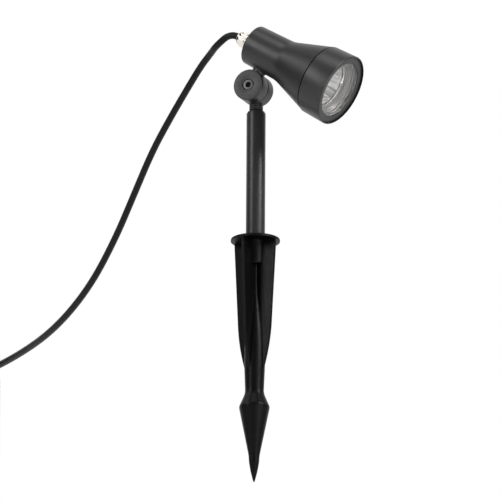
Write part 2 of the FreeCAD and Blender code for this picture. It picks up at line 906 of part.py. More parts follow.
def holder_strap():
    """Steel strap across the neck's bore, with ears up and down for the holder's screws."""
    reach = neck_bore_r - strap_edge_gap
    bar_w = pad_w - strap_narrow
    ear_h = holder_screw_h + m3_head_r
    bar = Part.makeBox(strap_t, 2 * reach, bar_w, Vec(strap_back_u, -reach, -bar_w / 2))
    ears = Part.makeBox(strap_t, strap_w, 2 * ear_h, Vec(strap_back_u, -strap_w / 2, -ear_h))
    plate = bar.fuse(ears).common(along_x(reach, strap_back_u - past, holder_back_u + past))
    hole = along_x(m3_r + screw_gap, strap_back_u - past, holder_back_u + past)
    cuts = [along_x(block_screw_r + screw_gap, strap_back_u - past, holder_back_u + past)]
    cuts += [moved(hole, y=y) for y in (-pad_screw_y, pad_screw_y)]
    cuts += [moved(hole, h=h) for h in (-holder_screw_h, holder_screw_h)]
    return cut_all(plate, cuts)


def strap_screws():
    """Two screws through the strap's ends into the pads."""
    start = strap_back_u - m3_len + m3_end_gap
    screw = screw_x(m3_r, start, holder_back_u, pad_screw_head_r, holder_back_u + m3_head_t)
    return Part.makeCompound([moved(screw.removeSplitter(), y=y) for y in (-pad_screw_y, pad_screw_y)])


def wire_screw_places():
    return [(block_back_u + share * block_len, side * wire_pitch / 2)
            for share in wire_rows for side in (-1, 1)]


def terminal_block():
    """Two-way terminal block, screwed to the back of the strap."""
    floor = block_h / 2 - block_groove_depth
    body = Part.makeBox(block_len, block_w, block_h, Vec(block_back_u, -block_w / 2, -block_h / 2))
    groove = Part.makeBox(block_len + 2 * past, block_groove_w, block_groove_depth,
                          Vec(block_back_u - past, -block_groove_w / 2, floor))
    cuts = [groove, along_x(block_screw_r + screw_gap, block_back_u - past, strap_back_u + past)]
    for u, y in wire_screw_places():
        cuts.append(moved(along_z(wire_screw_r + head_gap, floor, block_h / 2 + past), u, y))
    return cut_all(body, cuts)


def terminal_screws():
    floor = block_h / 2 - block_groove_depth
    top = floor + wire_screw_t
    slot = Part.makeBox(2 * wire_screw_r, wire_slot_w, wire_slot_depth + past,
                        Vec(-wire_screw_r, -wire_slot_w / 2, top - wire_slot_depth))
    screw = along_z(wire_screw_r, floor, top).cut(slot)
    return Part.makeCompound([moved(screw, u, y) for u, y in wire_screw_places()])


def block_screw():
    head = along_x(block_screw_head_r, block_back_u - block_screw_head_t, block_back_u)
    return along_x(block_screw_r, block_back_u, holder_back_u).fuse(head).removeSplitter()


def lamp_leads():
    """Two sleeved leads from the holder's back, over the block, into its rear."""
    outside = strap_w / 2 + core_r + lead_side_gap
    high = block_h / 2 + core_r + lead_over_block
    low = core_r + lead_low
    bend_u = block_back_u - lead_overhang
    return Part.makeCompound([wire_lead([
        (holder_back_u, side * outside, high),
        (block_back_u + lead_turn_in, side * outside, high),
        (bend_u + lead_lean, side * wire_pitch / 2, high),
        (bend_u, side * wire_pitch / 2, low),
        (block_back_u, side * wire_pitch / 2, low),
    ]) for side in (-1, 1)])


def supply_cores():
    """Line and neutral, from the sheath's end to the rear of the block."""
    return Part.makeCompound([wire_lead([
        (sheath_end_u, side * supply_side, -supply_drop),
        (sheath_end_u + core_straight, side * supply_side, -supply_drop),
        (block_back_u - core_straight, side * wire_pitch / 2, -block_entry_drop),
        (block_back_u, side * wire_pitch / 2, -block_entry_drop),
    ]) for side in (-1, 1)])


def earth_core():
    turn_up, level_out = earth_bend_u
    return wire_lead([
        (sheath_end_u, 0, earth_core_h),
        (sheath_end_u + turn_up, 0, earth_core_h),
        (sheath_end_u + level_out, 0, earth_wire_h),
        (earth_barrel_u, 0, earth_wire_h),
    ])


def earth_tag():
    """Ring terminal with a tongue and a barrel in which the core ends."""
    ring = along_z(earth_tag_r, earth_tag_h, earth_face_h, knuckle_u)
    tongue = Part.makeBox(knuckle_u - earth_head_r - earth_barrel_u, earth_tongue_w, earth_tag_t,
                          Vec(earth_barrel_u, -earth_tongue_w / 2, earth_tag_h))
    barrel = moved(along_x(earth_barrel_r, earth_barrel_u, earth_barrel_u + earth_barrel_len),
                   h=earth_wire_h)
    hole = along_z(earth_r + screw_gap, earth_tag_h - past, earth_face_h + past, knuckle_u)
    return cut_all(ring.fuse([tongue, barrel]), [hole])


def earth_screw():
    low = earth_tag_h - earth_head_t
    head = along_z(earth_head_r, low, earth_tag_h, knuckle_u)
    shank = along_z(earth_r, earth_tag_h, neck_bore_r + earth_screw_in, knuckle_u)
    slot = Part.makeBox(2 * earth_head_r, earth_slot_w, earth_slot_depth + past,
                        Vec(knuckle_u - earth_head_r, -earth_slot_w / 2, low - past))
    return cut_all(head.fuse(shank), [slot])


def knuckle_bolt():
    """Cap screw from inside the neck, through its wall, into the head's knuckle disc."""
    seat = bolt_seat_h + bolt_washer_t
    top = seat + bolt_head_t
    head = along_z(bolt_head_r, seat, top, knuckle_u)
    shank = along_z(bolt_r, bolt_seat_h - bolt_len + bolt_end_gap, seat, knuckle_u)
    key = hex_x(clamp_hex, 0, bolt_hex_depth + past)
    key.rotate(Vec(0, 0, 0), Vec(0, 1, 0), -90)
    return cut_all(head.fuse(shank), [moved(key, knuckle_u, 0, top - bolt_hex_depth)])


def bolt_washer():
    top = bolt_seat_h + bolt_washer_t
    return moved(tube_z(bolt_washer_r, bolt_r + hole_gap, bolt_seat_h, top), knuckle_u)


def rounded_hex_x(flats, start, end):
    """A hexagon with its corners turned off, as nuts have them."""
    corner = flats / 2 / math.cos(math.pi / 6)
    lean = gland_corner
    barrel = turned_x([
        (start, 0),
        (start, corner - lean),
        (start + lean, corner),
        (end - lean, corner),
        (end, corner - lean),
        (end, 0),
    ])
    return hex_x(flats, start, end, gland_turn).common(barrel)


def gland_body():
    thread = along_x(gland_thread_r, gland_hex_u, gland_end_u)
    collar = rounded_hex_x(gland_flats, gland_hex_u, -gland_oring_t)
    neck = along_x(gland_neck_r, gland_neck_u, gland_hex_u)
    seal_bore = along_x(gland_bore_r, gland_neck_u - past, seal_start_u)
    cable_bore = along_x(cable_r + slip_gap, gland_neck_u, gland_end_u + past)
    return cut_all(thread.fuse([collar, neck]), [seal_bore, cable_bore])


def gland_oring():
    return tube_x(gland_oring_r, gland_thread_r, -gland_oring_t, 0)


def gland_seal():
    """Rubber sleeve that grips the flex, pressed in by the dome nut."""
    outer = gland_bore_r - thread_gap
    return turned_x([
        (seal_start_u, cable_r),
        (seal_start_u, outer),
        (gland_dome_u, outer),
        (seal_end_u, gland_mouth_r + seal_tip),
        (seal_end_u, cable_r),
    ])


def gland_nut():
    """Dome nut that squeezes the seal round the flex."""
    nut = rounded_hex_x(gland_flats, gland_dome_u, gland_nut_u)
    base_r = gland_flats / 2 - gland_dome_step
    end_r = gland_mouth_r + gland_mouth_wall
    curve = []
    for k in range(bowl_steps + 1):
        a = math.pi / 2 * k / bowl_steps
        curve.append((gland_dome_u - gland_dome_len * math.sin(a),
                      end_r + (base_r - end_r) * math.cos(a)))
    dome = turned_x([(gland_dome_u, 0)] + curve + [(gland_mouth_u, 0)])
    hollow = turned_x([
        (gland_nut_u + past, 0),
        (gland_nut_u + past, gland_neck_r + thread_gap),
        (gland_neck_u - hole_gap, gland_neck_r + thread_gap),
        (gland_neck_u - hole_gap, gland_bore_r),
        (gland_dome_u, gland_bore_r),
        (seal_end_u - seal_gap, gland_mouth_r + seal_tip + seal_gap),
        (seal_end_u - seal_gap, gland_mouth_r),
        (gland_mouth_u - past, gland_mouth_r),
        (gland_mouth_u - past, 0),
    ])
    return cut_all(nut.fuse(dome), [hollow])


def gland_locknut():
    end = back_wall + gland_locknut_t
    nut = hex_x(gland_locknut_flats, back_wall, end)
    return nut.cut(along_x(gland_thread_r + thread_gap, back_wall - past, end + past))


def cable_entry():
    """The flex inside the gland, up to where its sheath is stripped."""
    return along_x(cable_r, gland_mouth_u, sheath_end_u)


def on_head_axis(u):
    return in_head(Part.Vertex(u, 0, 0)).Point


def coil_frame():
    """Start point, heading and the sideways direction in which the coil's centre lies."""
    start = Vec(*coil_start, cable_r)
    heading = (start - Vec(*route[-1])).normalize()
    return start, heading, Vec(-heading.y, heading.x, 0)


def power_cable():
    """The free flex, from the coil up to the gland, so that its sides line up with the coil's."""
    start, heading, side = coil_frame()
    gland_end = [on_head_axis(gland_mouth_u), on_head_axis(gland_mouth_u - first_run)]
    points = [start] + [Vec(*p) for p in reversed(route)] + gland_end[::-1]
    path, radii = rounded_path(points)
    tube, area = tube_along(path, cable_r, start, heading * -1, flex_sides)
    runs = [(b - a).Length for a, b in zip(points, points[1:])]
    print("flex runs, from the gland", [round(x) for x in reversed(runs)])
    print("flex radii, in diameters", [round(r / (2 * cable_r), 1) for r in reversed(radii)])
    print("flex length %.1f, volume over section x length %.4f"
          % (path.Length, tube.Volume / (area * path.Length)))
    return tube, path.Length


def biarc(p, p_dir, q, q_dir):
    """Two arcs that leave p along p_dir and reach q along q_dir."""
    v = q - p
    t = p_dir + q_dir
    k = 2 * (1 - p_dir.dot(q_dir))
    b = v.dot(t)
    d = (-b + math.sqrt(b * b + k * v.dot(v))) / k
    joint = (p + q + (p_dir - q_dir) * d) * 0.5
    return [Part.Arc(p, middle_of_arc(p, p_dir, joint), joint).toShape(),
            Part.Arc(joint, middle_of_arc(q, q_dir * -1, joint), q).toShape()]


def middle_of_arc(start, direction, end):
    """Middle point of the arc that leaves start along direction and reaches end."""
    chord = end - start
    normal = (chord - direction * chord.dot(direction)).normalize()
    radius = chord.dot(chord) / (2 * chord.dot(normal))
    centre = start + normal * radius
    bulge = ((start + end) * 0.5 - centre).normalize()
    return centre + bulge * radius


def coil_knots():
    """Points and headings at each half turn: in along the ground, up a layer, and out again."""
    start, heading, side = coil_frame()
    pitch = 2 * cable_r + coil_gap
    centre = start + heading * (2 * cable_r) + side * coil_out_r
    inner_r = coil_out_r - coil_halves_in * pitch / 2
    rings = [(coil_out_r - k * pitch / 2, 0) for k in range(coil_halves_in + 1)]
    rings.append((inner_r - pitch, pitch))
    rings += [(inner_r + k * pitch / 2, pitch) for k in range(1, coil_halves_out + 1)]
    knots = []
    for k, (radius, level) in enumerate(rings):
        sign = 1 if k % 2 else -1
        point = centre + side * (sign * radius) + Vec(0, 0, level)
        knots.append((point, heading * -sign))
    return start, knots


def cable_coil():
    """The put-away flex: one unbroken tube in two layers, with its end and heading."""
    start, knots = coil_knots()
    edges = [Part.LineSegment(start, knots[0][0]).toShape()]
    for (p, p_dir), (q, q_dir) in zip(knots, knots[1:]):
        edges += biarc(p, p_dir, q, q_dir)
    last, last_dir = knots[-1]
    end = last + last_dir * (2 * cable_r)
    edges.append(Part.LineSegment(last, end).toShape())
    path = Part.Wire(edges)
    tube, area = tube_along(path, cable_r, start, knots[0][1], flex_sides)
    ratio = tube.Volume / (area * path.Length)
    print("coil length %.1f, least gap to itself %.2f, volume over section x length %.4f"
          % (path.Length, least_gap(path), ratio))
    return tube, path.Length, end, last_dir


def least_gap(path):
    """Smallest gap between one turn of the coil and another, measured on points."""
    points = path.discretize(Number=int(path.Length / 2))
    apart = int(6 * cable_r / 2) + 1
    least = min((p - q).Length for i, p in enumerate(points) for q in points[i + apart:])
    return least - 2 * cable_r


def end_pieces(start, heading):
    """Three stripped cores, and the ferrules on them, at the far end of the flex."""
    side = heading.cross(Vec(0, 0, 1))
    cores = []
    ferrules = []
    for across, up in end_core_places:
        base = start + side * across + Vec(0, 0, up)
        tip = base + heading * end_core_len
        cores.append(Part.makeCylinder(core_r, end_core_len, base, heading))
        ferrules.append(Part.makeCylinder(ferrule_r, ferrule_len, tip, heading))
    return Part.makeCompound(cores), Part.makeCompound(ferrules)


upright = {
    "ground_spike": ground_spike,
    "pole": pole,
    "pole_foot_plug": pole_foot_plug,
    "pole_top_insert": pole_top_insert,
    "stem_oring": stem_oring,
    "lock_ring": lock_ring,
    "thrust_washer": thrust_washer,
    "lower_knuckle": lower_knuckle,
    "friction_washer": friction_washer,
    "clamp_screw": clamp_screw,
    "spring_washer": spring_washer,
    "clamp_nut": clamp_nut,
}
tilting = {
    "upper_knuckle": upper_knuckle,
    "knuckle_bolt": knuckle_bolt,
    "bolt_washer": bolt_washer,
    "lamp_housing": lamp_housing,
    "seam_oring": seam_oring,
    "bezel": bezel,
    "front_glass": front_glass,
    "glass_gasket": glass_gasket,
    "lamp_ring": lamp_ring,
    "lamp_reflector": lamp_reflector,
    "lamp_lens": lamp_lens,
    "lamp_capsule": lamp_capsule,
    "lamp_base": lamp_base,
    "lamp_pins": lamp_pins,
    "lamp_holder": lamp_holder,
    "holder_contacts": holder_contacts,
    "holder_screws": holder_screws,
    "holder_strap": holder_strap,
    "strap_screws": strap_screws,
    "terminal_block": terminal_block,
    "terminal_screws": terminal_screws,
    "block_screw": block_screw,
    "lamp_leads": lamp_leads,
    "supply_cores": supply_cores,
    "earth_core": earth_core,
    "earth_tag": earth_tag,
    "earth_screw": earth_screw,
    "gland_body": gland_body,
    "gland_oring": gland_oring,
    "gland_seal": gland_seal,
    "gland_nut": gland_nut,
    "gland_locknut": gland_locknut,
    "cable_entry": cable_entry,
}


def build():
    os.makedirs("parts", exist_ok=True)
    for name, make in upright.items():
        save(make(), name)
    for name, make in tilting.items():
        save(in_head(make()), name)
    flex, flex_length = power_cable()
    save(flex, "power_cable")
    coil, coil_length, end, heading = cable_coil()
    save(coil, "cable_coil")
    cores, ferrules = end_pieces(end, heading)
    save(cores, "cable_end_cores")
    save(ferrules, "core_ferrules")
    print("flex in all %.0f mm" % (flex_length + coil_length))


build()
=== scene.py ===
import bpy
import bmesh
import math
from mathutils import Matrix, Quaternion, Vector


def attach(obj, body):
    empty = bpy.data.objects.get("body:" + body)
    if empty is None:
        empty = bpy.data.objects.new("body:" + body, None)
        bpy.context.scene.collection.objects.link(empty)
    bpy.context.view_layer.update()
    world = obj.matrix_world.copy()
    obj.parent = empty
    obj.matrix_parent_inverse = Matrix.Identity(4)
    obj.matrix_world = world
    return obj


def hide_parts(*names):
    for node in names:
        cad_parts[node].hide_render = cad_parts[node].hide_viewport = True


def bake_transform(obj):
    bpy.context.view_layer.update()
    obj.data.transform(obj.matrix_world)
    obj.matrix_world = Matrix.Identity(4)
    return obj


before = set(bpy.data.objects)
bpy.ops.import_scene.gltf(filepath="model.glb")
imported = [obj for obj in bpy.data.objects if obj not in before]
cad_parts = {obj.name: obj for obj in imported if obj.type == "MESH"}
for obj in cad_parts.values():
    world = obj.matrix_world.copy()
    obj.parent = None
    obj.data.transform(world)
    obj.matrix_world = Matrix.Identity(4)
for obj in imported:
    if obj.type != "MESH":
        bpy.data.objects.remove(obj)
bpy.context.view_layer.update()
scene = bpy.context.scene
mm = 0.001


# camera: a long lens, low down on the right of the lamp's aim, looking up a little
photoView = {
    "azimuth": 22.0,
    "elevation": -16.5,
    "lean": 0.35,           # degrees that the lamp leans to the right in the picture
    "distance": 20.0,       # metres
    "clip": (0.5, 200),
    "frameWidth": 0.470,    # metres across the picture at the pole
    "sensor": 36.0,
    "shiftRight": -0.0050,  # picture centre from the origin, metres
    "shiftUp": -0.0075,
}


def cameraAxes(azimuth, elevation):
    a, e = math.radians(azimuth), math.radians(elevation)
    back = Vector((math.sin(a) * math.cos(e), -math.cos(a) * math.cos(e), math.sin(e)))
    right = Vector((math.cos(a), math.sin(a), 0))
    return right, back.cross(right), back


def placeCamera(f):
    right, up, back = cameraAxes(f["azimuth"], f["elevation"])
    data = bpy.data.cameras.new("photoCamera")
    data.sensor_width = f["sensor"]
    data.lens = f["sensor"] * f["distance"] / f["frameWidth"]
    data.clip_start, data.clip_end = f["clip"]
    camera = bpy.data.objects.new("photoCamera", data)
    scene.collection.objects.link(camera)
    centre = right * f["shiftRight"] + up * f["shiftUp"]
    camera.location = centre + back * f["distance"]
    lean = Quaternion((0, 0, 1), math.radians(f["lean"]))
    camera.rotation_euler = ((-back).to_track_quat("-Z", "Y") @ lean).to_euler()
    scene.camera = camera


placeCamera(photoView)
print("camera placed")


# the head's own axes: along its length from the back face, sideways, and up. From here on a
# piece's dictionary is in mm
headAim = {
    "downDegrees": 31.5,
    "tiltHeight": 149.0,    # the clamp screw's height over the ground
    "rise": 36.0,           # from the clamp screw up to the head's middle line
    "tiltAlong": 19.5,
    "sideways": -13.8,
}
headMatrix = (
    Matrix.Translation((0, headAim["sideways"] * mm, headAim["tiltHeight"] * mm))
    @ Matrix.Rotation(math.radians(headAim["downDegrees"]), 4, "Y")
    @ Matrix.Translation((-headAim["tiltAlong"] * mm, 0, headAim["rise"] * mm))
)
uprightMatrix = Matrix.Rotation(math.radians(-90), 4, "Y")
knuckleMatrix = Matrix.Translation((0, 0, headAim["tiltHeight"] * mm)) @ Matrix.Rotation(
    math.radians(90), 4, "Z")


def headPoint(along, side, up):
    return headMatrix @ Vector((along * mm, side * mm, up * mm))


# ways of making meshes
def eased(outline, steps=4):
    # corners with a third number are rounded off by that much, short of half a side
    soft = []
    count = len(outline)
    for i, corner in enumerate(outline):
        ease = corner[2] if len(corner) > 2 else 0
        if not ease:
            soft.append((corner[0], corner[1]))
            continue
        here = Vector(corner[:2])
        before = Vector(outline[i - 1][:2]) - here
        after = Vector(outline[(i + 1) % count][:2]) - here
        trim = min(ease, before.length * 0.49, after.length * 0.49)
        start = here + before.normalized() * trim
        end = here + after.normalized() * trim
        for k in range(steps + 1):
            t = k / steps
            point = start * (1 - t) ** 2 + here * 2 * t * (1 - t) + end * t * t
            soft.append((point.x, point.y))
    return soft


def polarRings(bm, rings, matrix, sides, closed):
    # each ring is (along, radius or a function of the angle); radius 0 is a point on the axis
    rows = []
    for along, radius in rings:
        if not callable(radius) and abs(radius) < 1e-6:
            rows.append([bm.verts.new(matrix @ Vector((along * mm, 0, 0)))])
            continue
        row = []
        for k in range(sides):
            angle = 2 * math.pi * k / sides
            r = radius(angle) if callable(radius) else radius
            local = Vector((along * mm, r * mm * math.cos(angle), r * mm * math.sin(angle)))
            row.append(bm.verts.new(matrix @ local))
        rows.append(row)
    pairs = list(zip(rows, rows[1:]))
    if closed:
        pairs.append((rows[-1], rows[0]))
    for a, b in pairs:
        if len(a) == 1 and len(b) == 1:
            continue
        for k in range(sides):
            n = (k + 1) % sides
            if len(a) == 1:
                bm.faces.new((a[0], b[n], b[k]))
            elif len(b) == 1:
                bm.faces.new((a[k], a[n], b[0]))
            else:
                bm.faces.new((a[k], a[n], b[n], b[k]))


def turned(bm, outline, matrix, sides=96):
    # a lathe-turned piece: the outline goes round half of its section
    soft = eased(outline)
    onAxis = abs(soft[0][1]) < 1e-6 and abs(soft[-1][1]) < 1e-6
    polarRings(bm, soft, matrix, sides, not onAxis)


def hexRadius(flats, turn=0.0):
    def radius(angle):
        off = (angle - math.radians(turn)) % math.radians(60) - math.radians(30)
        return flats / 2 / math.cos(off)
    return radius


def limited(radius, limit):
    return lambda angle: min(radius(angle), limit)


def hexagonRings(flats, start, end, turn=0.0, lean=0.7):
    # a hexagon with its corners turned off at both ends
    corner = flats / 2 / math.cos(math.pi / 6)
    shape = hexRadius(flats, turn)
    cuts = ((0, -0.6), (0.35, -0.25), (1, 0.02))    # share of the lean, and reach past the corner
    rings = [(start + lean * share, limited(shape, corner + reach)) for share, reach in cuts]
    rings += [(start + (end - start) * share, shape) for share in (0.3, 0.7)]
    for share, reach in reversed(cuts):
        rings.append((end - lean * share, limited(shape, corner + reach)))
    return rings


def placedPiece(name, mesh, material):
    piece = bpy.data.objects.new(name, mesh)
    scene.collection.objects.link(piece)
    mesh.materials.append(material)
    return piece


def smoothMesh(bm, name, sharp=32):
    # smooth, with a crisp edge wherever faces meet at more than the sharp angle
    bmesh.ops.recalc_face_normals(bm, faces=bm.faces)
    mesh = bpy.data.meshes.new(name)
    bm.to_mesh(mesh)
    bm.free()
    mesh.shade_smooth()
    mesh.set_sharp_from_angle(angle=math.radians(sharp))
    return mesh


def finishedPiece(bm, name, material, body, nodes, sharp=32):
    piece = placedPiece(name, smoothMesh(bm, name, sharp), material)
    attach(piece, body)
    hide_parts(*nodes)
    return piece


def finishFaces(piece, material, fromRadius, toRadius, fromAlong, toAlong):
    # a second finish between two radii and two places along the head
    piece.data.materials.append(material)
    toHead = headMatrix.inverted()
    for face in piece.data.polygons:
        spot = toHead @ face.center / mm
        if fromRadius < math.hypot(spot.y, spot.z) < toRadius and fromAlong < spot.x < toAlong:
            face.material_index = 1


# ways of making finishes
def newFinish(name):
    material = bpy.data.materials.new(name)
    material.use_nodes = True
    tree = material.node_tree
    return material, tree, tree.nodes["Principled BSDF"]


def mathNode(tree, operation, *values):
    # sockets are linked, and numbers are set
    node = tree.nodes.new("ShaderNodeMath")
    node.operation = operation
    for place, value in zip(node.inputs, values):
        if isinstance(value, bpy.types.NodeSocket):
            tree.links.new(value, place)
        else:
            place.default_value = value
    return node.outputs[0]


def rangeNode(tree, value, inside, outside=(0, 1), shape="LINEAR"):
    node = tree.nodes.new("ShaderNodeMapRange")
    node.interpolation_type = shape
    node.inputs["From Min"].default_value, node.inputs["From Max"].default_value = inside
    node.inputs["To Min"].default_value, node.inputs["To Max"].default_value = outside
    tree.links.new(value, node.inputs["Value"])
    return node.outputs["Result"]


def mixNode(tree, share, first, second):
    node = tree.nodes.new("ShaderNodeMixShader")
    for place, value in zip(node.inputs, (share, first, second)):
        tree.links.new(value, place)
    return node.outputs[0]


def noiseNode(tree, scale, detail=3.0, roughness=0.55, stretch=(1, 1, 1)):
    place = tree.nodes.new("ShaderNodeTexCoord")
    mapping = tree.nodes.new("ShaderNodeMapping")
    mapping.inputs["Scale"].default_value = stretch
    noise = tree.nodes.new("ShaderNodeTexNoise")
    noise.inputs["Scale"].default_value = scale
    noise.inputs["Detail"].default_value = detail
    noise.inputs["Roughness"].default_value = roughness
    tree.links.new(place.outputs["Object"], mapping.inputs["Vector"])
    tree.links.new(mapping.outputs["Vector"], noise.inputs["Vector"])
    return noise


def tintFrom(tree, bsdf, noise, dark, light):
    ramp = tree.nodes.new("ShaderNodeValToRGB")
    ramp.color_ramp.elements[0].position = 0.32
    ramp.color_ramp.elements[1].position = 0.70
    ramp.color_ramp.elements[0].color = (*dark, 1)
    ramp.color_ramp.elements[1].color = (*light, 1)
    tree.links.new(noise.outputs["Fac"], ramp.inputs["Fac"])
    tree.links.new(ramp.outputs["Color"], bsdf.inputs["Base Color"])


def roughnessFrom(tree, bsdf, noise, low, high):
    spread = rangeNode(tree, noise.outputs["Fac"], (0.3, 0.7), (low, high))
    tree.links.new(spread, bsdf.inputs["Roughness"])


def bumpFrom(tree, bsdf, height, strength, depth):
    bump = tree.nodes.new("ShaderNodeBump")
    bump.inputs["Strength"].default_value = strength
    bump.inputs["Distance"].default_value = depth
    tree.links.new(height, bump.inputs["Height"])
    tree.links.new(bump.outputs["Normal"], bsdf.inputs["Normal"])


def around(colour, amount):
    return tuple(c * (1 - amount) for c in colour), tuple(min(1, c * (1 + amount)) for c in colour)


def grainedFinish(name, colour, rough, grain, depth, metal=0.0, spread=0.10, specular=0.5,
                  stretch=(1, 1, 1)):
    # broad clouds in the colour, and a fine grain in the roughness and the bump
    material, tree, bsdf = newFinish(name)
    bsdf.inputs["Metallic"].default_value = metal
    bsdf.inputs["Specular IOR Level"].default_value = specular
    broad = noiseNode(tree, 45, 4.0, 0.6, stretch)
    fine = noiseNode(tree, grain, 2.0, 0.5, stretch)
    tintFrom(tree, bsdf, broad, *around(colour, spread))
    roughnessFrom(tree, bsdf, fine, rough - 0.05, rough + 0.07)
    bumpFrom(tree, bsdf, fine.outputs["Fac"], 0.5, depth)
    return material


def clearFinish(name, colour, alpha, rough=0.03, metal=1.0):
    # a clear pane: nearly all passes through, and the rest is a mirror's share
    material, tree, bsdf = newFinish(name)
    bsdf.inputs["Alpha"].default_value = alpha
    bsdf.inputs["Metallic"].default_value = metal
    haze = noiseNode(tree, 60, 2.0)
    tintFrom(tree, bsdf, haze, *around(colour, 0.02))
    roughnessFrom(tree, bsdf, haze, rough, rough + 0.03)
    bumpFrom(tree, bsdf, haze.outputs["Fac"], 0.1, 0.000002)
    return material


graphiteCoat = grainedFinish("graphiteCoat", (0.020, 0.0196, 0.0208), 0.38, 2600, 0.00003)
spikeMoulding = grainedFinish("spikeMoulding", (0.0015, 0.0015, 0.0016), 0.40, 900, 0.00005,
                              specular=0.16, stretch=(1, 1, 0.12))
flexRubber = grainedFinish("flexRubber", (0.004, 0.004, 0.004), 0.38, 1500, 0.00005, specular=0.2)
sealRubber = grainedFinish("sealRubber", (0.005, 0.005, 0.005), 0.60, 1600, 0.00004, specular=0.25)
nickelPlate = grainedFinish("nickelPlate", (0.86, 0.81, 0.76), 0.12, 700, 0.00001, metal=1.0,
                            spread=0.04)
zincPlate = grainedFinish("zincPlate", (0.62, 0.62, 0.61), 0.30, 900, 0.00001, metal=1.0)
blackSteel = grainedFinish("blackSteel", (0.10, 0.10, 0.104), 0.38, 900, 0.00001, metal=0.6)
# near-black, painted as the shade inside the clamp screw's hex socket
paintedSocketShade = grainedFinish("paintedSocketShade", (0.004, 0.004, 0.004), 0.75, 900, 0.00001)
brassPlain = grainedFinish("brassPlain", (0.72, 0.53, 0.24), 0.28, 800, 0.00001, metal=1.0)
glazedCeramic = grainedFinish("glazedCeramic", (0.82, 0.80, 0.74), 0.30, 500, 0.00002, spread=0.03)
blockNylon = grainedFinish("blockNylon", (0.74, 0.74, 0.69), 0.45, 900, 0.00002, spread=0.03)
sleeveWeave = grainedFinish("sleeveWeave", (0.78, 0.76, 0.70), 0.7, 1400, 0.0001, spread=0.08)
brownCore = grainedFinish("brownCore", (0.16, 0.06, 0.025), 0.35, 900, 0.00001)
blueCore = grainedFinish("blueCore", (0.02, 0.09, 0.42), 0.35, 900, 0.00001)
blackNylon = grainedFinish("blackNylon", (0.018, 0.018, 0.018), 0.45, 900, 0.00002)
greySilicone = grainedFinish("greySilicone", (0.46, 0.45, 0.44), 0.50, 900, 0.00002)
spunAluminium = grainedFinish("spunAluminium", (0.33, 0.32, 0.315), 0.38, 600, 0.00001, metal=0.35,
                              spread=0.05)
mirrorCoat = grainedFinish("mirrorCoat", (0.97, 0.97, 0.955), 0.20, 400, 0.00002, metal=0.75,
                           spread=0.02)
frontGlassFinish = clearFinish("frontGlassFinish", (0.90, 0.92, 0.92), 0.035)
lampGlassFinish = clearFinish("lampGlassFinish", (0.90, 0.91, 0.92), 0.03)
capsuleGlassFinish = clearFinish("capsuleGlassFinish", (0.86, 0.86, 0.84), 0.45, 0.1, 0.0)


def stripedCore(name):
    # green and yellow insulation, in stripes along the core
    material, tree, bsdf = newFinish(name)
    place = tree.nodes.new("ShaderNodeTexCoord")
    wave = tree.nodes.new("ShaderNodeTexWave")
    wave.inputs["Scale"].default_value = 160
    wave.inputs["Distortion"].default_value = 0.4
    ramp = tree.nodes.new("ShaderNodeValToRGB")
    ramp.color_ramp.interpolation = "CONSTANT"
    ramp.color_ramp.elements[0].color = (0.03, 0.22, 0.03, 1)
    ramp.color_ramp.elements[1].color = (0.75, 0.62, 0.03, 1)
    ramp.color_ramp.elements[1].position = 0.6
    tree.links.new(place.outputs["Object"], wave.inputs["Vector"])
    tree.links.new(wave.outputs["Fac"], ramp.inputs["Fac"])
    tree.links.new(ramp.outputs["Color"], bsdf.inputs["Base Color"])
    grain = noiseNode(tree, 900)
    roughnessFrom(tree, bsdf, grain, 0.3, 0.42)
    bumpFrom(tree, bsdf, grain.outputs["Fac"], 0.3, 0.00002)
    return material


earthCore = stripedCore("earthCore")
print("finishes made")


# flex: one spline from the gland to the coil's end. The route, the coil's start and the length
# are in metres
flex = {
    "radius": 3.25,
    "mouthAlong": -17.4,
    "firstRun": 9.4,
    "route": [
        (-0.0373, -0.0090, 0.1945),
        (-0.0474, 0.0030, 0.1919),
        (-0.0623, 0.0147, 0.1840),
        (-0.0800, 0.0284, 0.1702),
        (-0.1047, 0.0477, 0.1502),
        (-0.1351, 0.0732, 0.1249),
        (-0.1662, 0.1045, 0.0943),
        (-0.2001, 0.1391, 0.0618),
        (-0.2429, 0.1796, 0.0295),
        (-0.2969, 0.2258, 0.0070),
        (-0.3617, 0.2870, 0.00325),
    ],
    "followsHeadTo": 5,     # the route's point from which it keeps to the stem
    "coilStart": (-0.4268, 0.3378, 0.00325),
    "coilOuter": 45.0,
    "coilGap": 0.55,
    "halvesIn": 4,          # half turns on the ground, winding in
    "halvesOut": 3,         # and on top of them, winding out
    "pointsPerTurn": 16,
    "length": 1.505,
}


def coilRing(k, f):
    # radius and height, in mm, at k half turns from the coil's start
    pitch = 2 * f["radius"] + f["coilGap"]
    inner = f["coilOuter"] - f["halvesIn"] * pitch / 2
    rings = [(f["coilOuter"] - i * pitch / 2, 0) for i in range(f["halvesIn"] + 1)]
    rings.append((inner - pitch, pitch))
    rings += [(inner + i * pitch / 2, pitch) for i in range(1, f["halvesOut"] + 1)]
    i = min(int(k), len(rings) - 2)
    t = min(k - i, 1.0)
    rise = t * t * (3 - 2 * t)
    radius = rings[i][0] + (rings[i + 1][0] - rings[i][0]) * t
    height = rings[i][1] + (rings[i + 1][1] - rings[i][1]) * rise
    return radius, height


